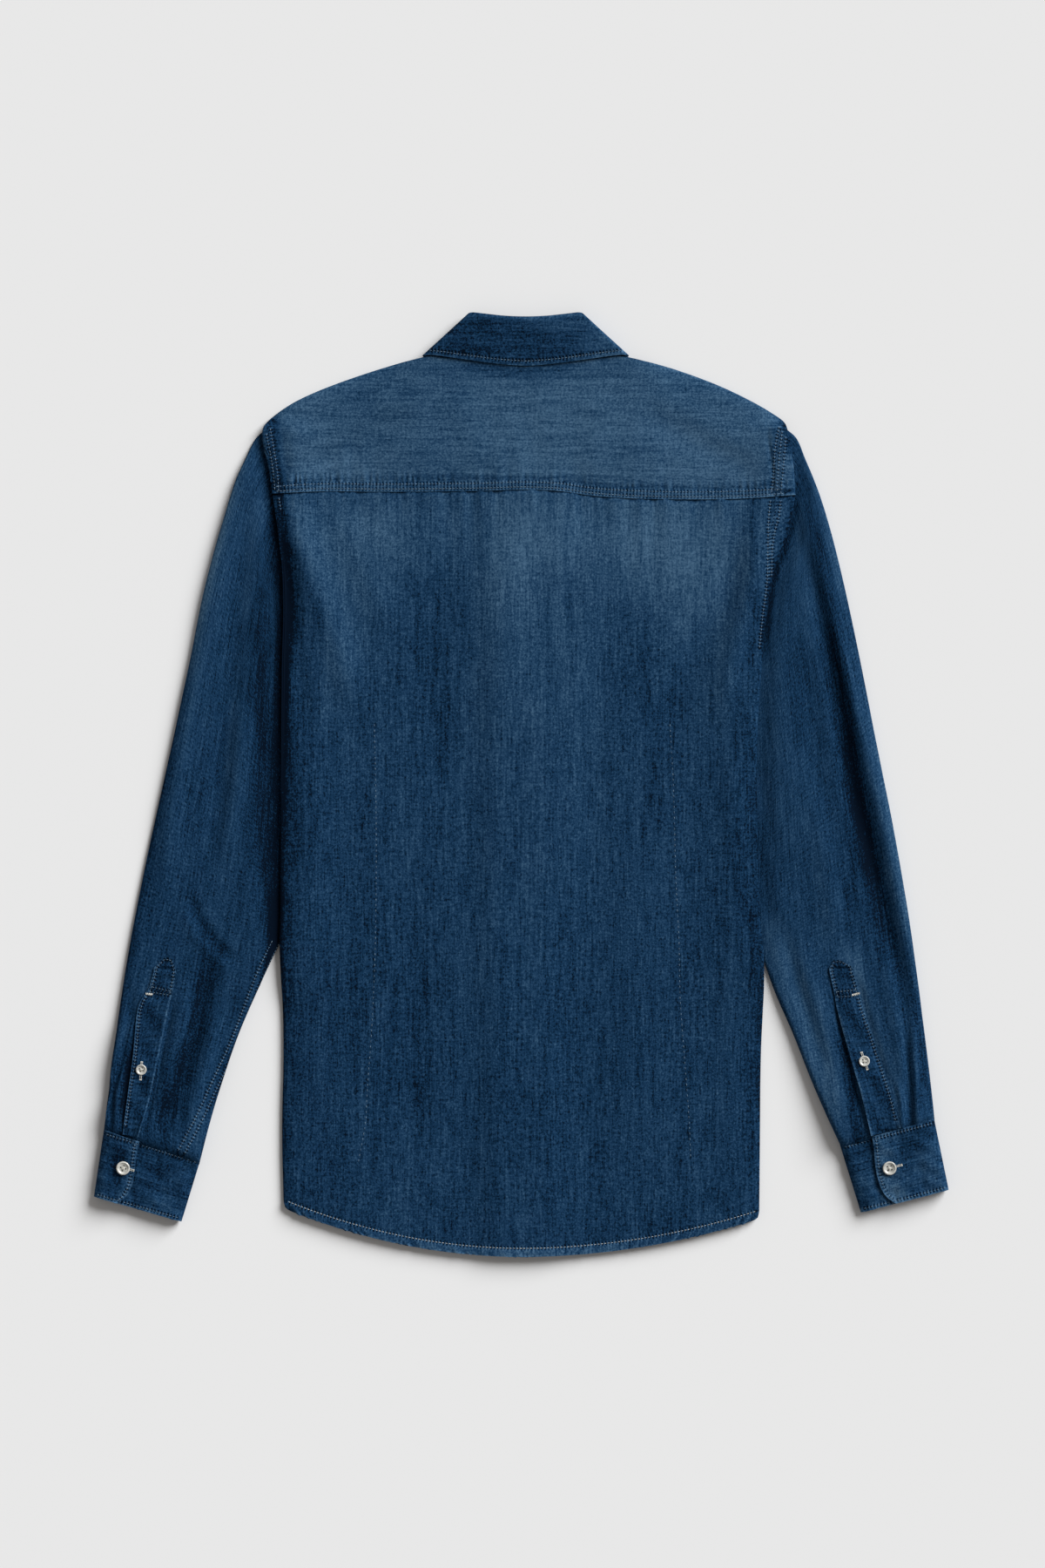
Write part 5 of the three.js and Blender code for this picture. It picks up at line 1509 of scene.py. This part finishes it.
# Stitch lines beside the armholes, on the back, on the yoke and on the yoke's seam strips.
BACK_ARMHOLE_LINES = [
    [(-200.2, 237), (-198.4, 226)],
    [(205.8, 235), (204.4, 221.8), (203.5, 194.8), (203.0, 167.8), (199.4, 140), (196.6, 112)],
    [(214.0, 235), (213.0, 223), (209.8, 211), (207.4, 196), (206.6, 172)],
]
YOKE_ARMHOLE_LINES = [
    [(-207.4, 294.5), (-204.2, 275.8), (-201.5, 257.8), (-200.4, 242.4)],
    [(213.0, 296.0), (209.8, 279.4), (208.0, 252.4), (206.4, 240.5)],
    [(218.4, 287.0), (216.8, 266.8), (214.3, 240.5)],
]


STRIP_LINES = [
    [(-210.5, 290), (-207, 272), (-204.5, 256), (-203.4, 242)],
    [(215.4, 292), (213, 270), (211, 242)],
]
LEAF_STITCH = 3.8 / 41


def resample(line, pitch):
    line = np.asarray(line, float)
    lengths = np.hypot(*np.diff(line, axis=0).T)
    keys = np.concatenate([[0], np.cumsum(lengths)])
    at = np.arange(pitch / 2, keys[-1], pitch)
    return np.stack([np.interp(at, keys, line[:, 0]), np.interp(at, keys, line[:, 1])], -1)


def curve(line):
    """A smooth curve through a line of points."""
    line = np.asarray(line, float)
    keys = np.concatenate([[0], np.cumsum(np.hypot(*np.diff(line, axis=0).T))])
    table = Table("s x y", np.column_stack([keys, line]))
    at = np.linspace(0, keys[-1], 60)
    return np.column_stack([table.at(at, "x"), table.at(at, "y")])


def cuff_lines(shape):
    """Stitch lines inside the cuff's seam, its edge and the free end of its flap."""
    seam, edge = np.array(shape["seam"]), np.array(shape["edge"])

    def at(share, across):
        return lerp(lerp(seam[0], edge[0], share), lerp(seam[1], edge[1], share), across)

    lines = [[at(share, a) for a in np.linspace(0.03, 0.97, 30)] for share in (0.045, 0.955)]
    flap = shape["flap"]
    return lines + [[at(share, flap.at(share, "across") - 0.035) for share in np.linspace(0.05, 0.95, 24)]]


def placket_lines(edges, outer):
    """Stitch lines around the point, across it twice and along the side that is sewn down."""
    at = placket_place(edges)
    near, far = 0.1, 0.9
    tip = [at(i, near) for i in np.linspace(4.2, 0.5, 20)]
    tip += [at(0.35, 0.5)]
    tip += [at(i, far) for i in np.linspace(0.5, 4.2, 20)]
    across = [[at(i, t) for t in (0.08, 0.5, 0.92)] for i in (4.2, 3.9)]
    return [tip, *across, [at(i, far if outer else near) for i in np.linspace(4.3, 7.8, 30)]]


def collect_sewn_lines():
    yoke_x = np.linspace(-203, 216, 60)
    hem_x = np.linspace(-193, 193, 60)
    SEWN["yoke"] = [(2.0, np.column_stack([yoke_x, yoke_seam(yoke_x) + 3.6]))]
    SEWN["yoke"] += [(0.0, curve(line)) for line in YOKE_ARMHOLE_LINES + STRIP_LINES]
    SEWN["back"] = [(0.0, np.column_stack([hem_x, back_hem(hem_x) + HEM_WIDTH]))]
    SEWN["back"] += [(0.0, curve(line)) for line in BACK_ARMHOLE_LINES]
    leaf_line = [collar_point(s, 1 - LEAF_STITCH, 0)[:2] for s in np.linspace(-0.31, 0.31, 60)]
    SEWN["collar"] = [(0.0, leaf_line)]
    SEWN["sleeve_left"] = [(2.9, curve(LEFT_FELL))]
    for name, lines in (("cuff_left", cuff_lines(LEFT_CUFF)), ("cuff_right", cuff_lines(RIGHT_CUFF)),
                        ("placket_left", placket_lines(LEFT_PLACKET, 0)),
                        ("placket_right", placket_lines(RIGHT_PLACKET, 1))):
        SEWN[name] = [(0.0, line) for line in lines]


def offset_lines(gap, line):
    """The line itself, or the pair of lines on both sides of it."""
    if gap == 0:
        return [line]
    line = np.asarray(line)
    along = unit(np.gradient(line, axis=0))
    normal = along[:, ::-1] * np.array([-1, 1])
    return [line + normal * gap, line - normal * gap]


def sew(name, on, material, radius, pick=slice(None), length=1.9):
    lines = [single for gap, line in SEWN[on][pick] for single in offset_lines(gap, line)]
    stitches(name, on, lines, material, length, STITCH_PITCH - length, radius)


def add_stitching():
    sew("yoke_stitches", "yoke", THREAD, 0.24)
    sew("hem_stitches", "back", PALE_THREAD, 0.28, slice(0, 1))
    sew("armhole_stitches", "back", THREAD, 0.24, slice(1, None))
    stitches("dart_stitches", "back", [curve(LEFT_DART), curve(RIGHT_DART)], THREAD, length=1.9, gap=2.6,
             radius=0.22)
    sew("collar_stitches", "collar", THREAD, 0.24)
    sew("underarm_stitches", "sleeve_left", THREAD, 0.24)
    for name in ("cuff_left", "cuff_right", "placket_left", "placket_right"):
        sew(name + "_stitches", name, THREAD, 0.2)
    bars("bartack_left", "placket_left", bartack((-310.8, -172.6), (-304.4, -173.4)))
    bars("bartack_right", "placket_right", bartack((272.8, -174.0), (279.4, -172.4)))
    for name, on, a, b in (
            ("buttonhole_left", "placket_left", (-313.2, -229.6), (-314.2, -243.0)),
            ("buttonhole_right", "placket_right", (281.0, -221.6), (285.4, -234.6)),
            ("buttonhole_cuff_left", "cuff_left", (-331.0, -315.6), (-320.4, -318.2)),
            ("buttonhole_cuff_right", "cuff_right", (302.6, -316.6), (313.4, -314.0))):
        bars(name, on, buttonhole(a, b), 0.22)


# ---------------------------------------------------------------- buttons

# Radius, thickness, radius of a hole and its distance from the centre each way.
BUTTONS = {"shirt": (5.7, 2.2, 0.85, 1.35), "small": (4.5, 2.0, 0.72, 1.1), "collar": (5.0, 1.8, 0.75, 1.2)}
# Shares of the radius and of the thickness, from the middle of the top to the middle of the foot.
BUTTON_PROFILE = [
    (0.0, 0.52), (0.3, 0.52), (0.55, 0.55), (0.66, 0.66), (0.74, 0.9), (0.82, 1.0), (0.9, 0.98),
    (0.97, 0.84), (1.0, 0.6), (0.98, 0.3), (0.9, 0.06), (0.8, 0.0), (0.0, 0.0),
]


def lathe(profile, radius, height, segments):
    points, faces = [], []
    rings = profile[1:-1]
    points.append((0, 0, profile[0][1] * height))
    for r, z in rings:
        for k in range(segments):
            a = 2 * math.pi * k / segments
            points.append((math.cos(a) * r * radius, math.sin(a) * r * radius, z * height))
    points.append((0, 0, 0))
    last = len(points) - 1
    for k in range(segments):
        n = (k + 1) % segments
        faces.append((0, 1 + k, 1 + n))
        for i in range(len(rings) - 1):
            a = 1 + i * segments
            faces.append((a + k, a + segments + k, a + segments + n, a + n))
        a = 1 + (len(rings) - 1) * segments
        faces.append((a + k, last, a + n))
    return points, faces


def button_mesh(radius, thickness, hole, offset):
    """A four-hole button with a raised rim, as points and faces about its foot."""
    points, faces = lathe(BUTTON_PROFILE, radius, thickness, 48)
    body = make_mesh("button_body", points, faces, PEARL)
    cut_points, cut_faces = [], []
    for sx in (-1, 1):
        for sy in (-1, 1):
            ring, sides = lathe([(0, 1), (1, 1), (1, 0), (0, 0)], hole, thickness * 2, 14)
            first = len(cut_points)
            cut_points += [(x + sx * offset, y + sy * offset, z - thickness / 2) for x, y, z in ring]
            cut_faces += [tuple(first + i for i in face) for face in sides]
    cutter = make_mesh("button_cutter", cut_points, cut_faces, PEARL)
    modifier = body.modifiers.new("holes", "BOOLEAN")
    modifier.object = cutter
    modifier.solver = "EXACT"
    bpy.context.view_layer.update()
    graph = bpy.context.evaluated_depsgraph_get()
    made = body.evaluated_get(graph).to_mesh()
    out_points = [tuple(v.co[k] / MM for k in range(3)) for v in made.vertices]
    out_faces = [tuple(p.vertices) for p in made.polygons]
    for piece in (body, cutter):
        mesh = piece.data
        bpy.data.objects.remove(piece)
        bpy.data.meshes.remove(mesh)
    return np.array(out_points), out_faces


def place_button(node, kind, on, turn, facing=1, lift=0.25):
    """A button with its thread, on the piece below it or where the solid is."""
    points, faces = BUTTON_MESHES[kind]
    offset = BUTTONS[kind][3]
    low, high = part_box(node)
    centre = np.array([(low[k] + high[k]) / 2 / MM for k in range(3)])
    up = np.array([0, 0, float(facing)])
    base = np.array([centre[0], centre[1], (low.z if facing > 0 else high.z) / MM])
    if on is not None:
        point, normal = drop(on, centre[0], centre[1])
        up = unit(np.array(normal) * 0.6 + np.array([0, 0, 1]))
        base = point + up * lift
    side = unit(np.cross(np.array([0, 1, 0]), up))
    ahead = np.cross(up, side)
    c, s = math.cos(turn), math.sin(turn)
    axes = np.stack([side * c + ahead * s, ahead * c - side * s, up])
    piece = make_mesh(node + "_pearl", points @ axes + base, faces, PEARL, 40)
    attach(piece, "root")
    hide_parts(node)
    tops, rims = [], []
    height = 0.52 * (points[:, 2].max())
    for sign in (-1, 1):
        ends = [np.array([-offset, -offset * sign, height]), np.array([offset, offset * sign, height])]
        for shift in (-0.3, 0.3):
            nudge = np.array([shift * sign, -shift, 0.0])
            a, b = (ends[0] + nudge) @ axes + base, (ends[1] + nudge) @ axes + base
            direction = unit(b - a)
            flat = unit(np.cross(direction, up))
            centres = [a - up * 0.5, lerp(a, b, 0.12) + up * 0.1, lerp(a, b, 0.5) + up * (0.4 + 0.1 * sign),
                       lerp(a, b, 0.88) + up * 0.1, b - up * 0.5]
            capsule(tops, rims, centres, [0.22, 0.26, 0.28, 0.26, 0.22], flat, up)
    foot = [base - up * (lift + 0.6), base + up * 0.1]
    capsule(tops, rims, foot, [offset * 0.9, offset * 0.9], axes[0], axes[1])
    threads(node + "_thread", tops, rims, WHITE_THREAD, 60)


# ---------------------------------------------------------------- stage

BACKDROP = (232, 232, 232)
FLOOR_HALF = 4000
FLOOR_LEVEL = -0.3
SUN_TILT = 58
SUN_FROM = 180 - 47
SUN_SPREAD = 38
CAMERA_AT = (0.001, 0.0004, 6.0)
CAMERA_LENS = 166.67


def stage():
    paper = Look("floor_paper", 0.95, specular=0.0)
    paper.shader.inputs["Base Color"].default_value = (0.8, 0.8, 0.8, 1)
    corners = [(sx * FLOOR_HALF, sy * FLOOR_HALF, FLOOR_LEVEL) for sx, sy in ((-1, -1), (1, -1), (1, 1), (-1, 1))]
    floor = make_mesh("floor", corners, [(0, 1, 2, 3)], paper.material)
    world = bpy.data.worlds.new("studio")
    world.use_nodes = True
    nodes, links = world.node_tree.nodes, world.node_tree.links
    sky = nodes["Background"]
    sky.inputs["Color"].default_value = (1.04, 1.0, 0.96, 1)
    sky.inputs["Strength"].default_value = 0.24
    backdrop = nodes.new("ShaderNodeBackground")
    backdrop.inputs["Color"].default_value = lin(*BACKDROP)
    backdrop.inputs["Strength"].default_value = 1.0
    # The camera sees the backdrop, and everything else is lit by the sky.
    path = nodes.new("ShaderNodeLightPath")
    seen = nodes.new("ShaderNodeMixShader")
    links.new(path.outputs["Is Camera Ray"], seen.inputs[0])
    links.new(sky.outputs[0], seen.inputs[1])
    links.new(backdrop.outputs[0], seen.inputs[2])
    links.new(seen.outputs[0], nodes["World Output"].inputs["Surface"])
    bpy.context.scene.world = world
    sun = bpy.data.lights.new("key", "SUN")
    sun.energy = 4.55
    sun.color = (0.988, 1.0, 1.012)
    sun.angle = math.radians(SUN_SPREAD)
    lamp = bpy.data.objects.new("key", sun)
    lamp.rotation_euler = (math.radians(SUN_TILT), 0, math.radians(SUN_FROM))
    bpy.context.scene.collection.objects.link(lamp)
    camera = bpy.data.cameras.new("camera")
    camera.sensor_fit = "VERTICAL"
    camera.sensor_height = 36
    camera.sensor_width = 24
    camera.lens = CAMERA_LENS
    camera.clip_start = 0.1
    camera.clip_end = 50
    eye = bpy.data.objects.new("camera", camera)
    eye.location = CAMERA_AT
    bpy.context.scene.collection.objects.link(eye)
    bpy.context.scene.camera = eye
    bpy.context.scene.view_settings.view_transform = "Standard"
    bpy.context.scene.view_settings.look = "None"


# ---------------------------------------------------------------- assembly

stage()
collect_sewn_lines()
back = back_panel()
yoke_piece = yoke()
left_front = front("front_left", -1, LEFT_SHOULDER, "leftSeam", LEFT_FRONT_RISE)
right_front = front("front_right", 1, RIGHT_SHOULDER, "rightSeam", RIGHT_FRONT_RISE)
placket = front_placket()
left_sleeve = sleeve("sleeve_left", LEFT_SLEEVE, LEFT_ARMHOLE, "left",
                     sleeve_relief(LEFT_SLEEVE_FOLDS, LEFT_CUFF["seam"], LEFT_FELL),
                     sleeve_tone(0.19, LEFT_SLEEVE_FOLDS, LEFT_SLEEVE_SHADES, LEFT_FELL), "sleeve_left")
right_sleeve = sleeve("sleeve_right", RIGHT_SLEEVE, RIGHT_ARMHOLE, "right",
                      sleeve_relief(RIGHT_SLEEVE_FOLDS, RIGHT_CUFF["seam"]),
                      sleeve_tone(0.22, RIGHT_SLEEVE_FOLDS, RIGHT_SLEEVE_SHADES), "sleeve_right")
left_cuff = cuff("cuff_left", LEFT_CUFF, False, "cuff_left")
right_cuff = cuff("cuff_right", RIGHT_CUFF, True, "cuff_right")
left_placket = sleeve_placket("placket_left", LEFT_PLACKET, "sleeve_left", 1, "sleeve_placket_left")
right_placket = sleeve_placket("placket_right", RIGHT_PLACKET, "sleeve_right", 0, "sleeve_placket_right")
leaf = collar_leaf()
stand = collar_stand()
add_stitching()

BUTTON_MESHES = {kind: button_mesh(*size) for kind, size in BUTTONS.items()}
place_button("cuff_button_left", "shirt", "cuff_left", 0.5)
place_button("cuff_button_right", "shirt", "cuff_right", 0.2)
place_button("sleeve_button_left", "small", "placket_left", 0.3)
place_button("sleeve_button_right", "small", "placket_right", 0.1)
for k in range(1, 8):
    place_button(f"front_button_{k}", "shirt", None, 0.4 * k, facing=-1, lift=0.0)
place_button("collar_button", "collar", None, 0.6, facing=-1, lift=0.0)
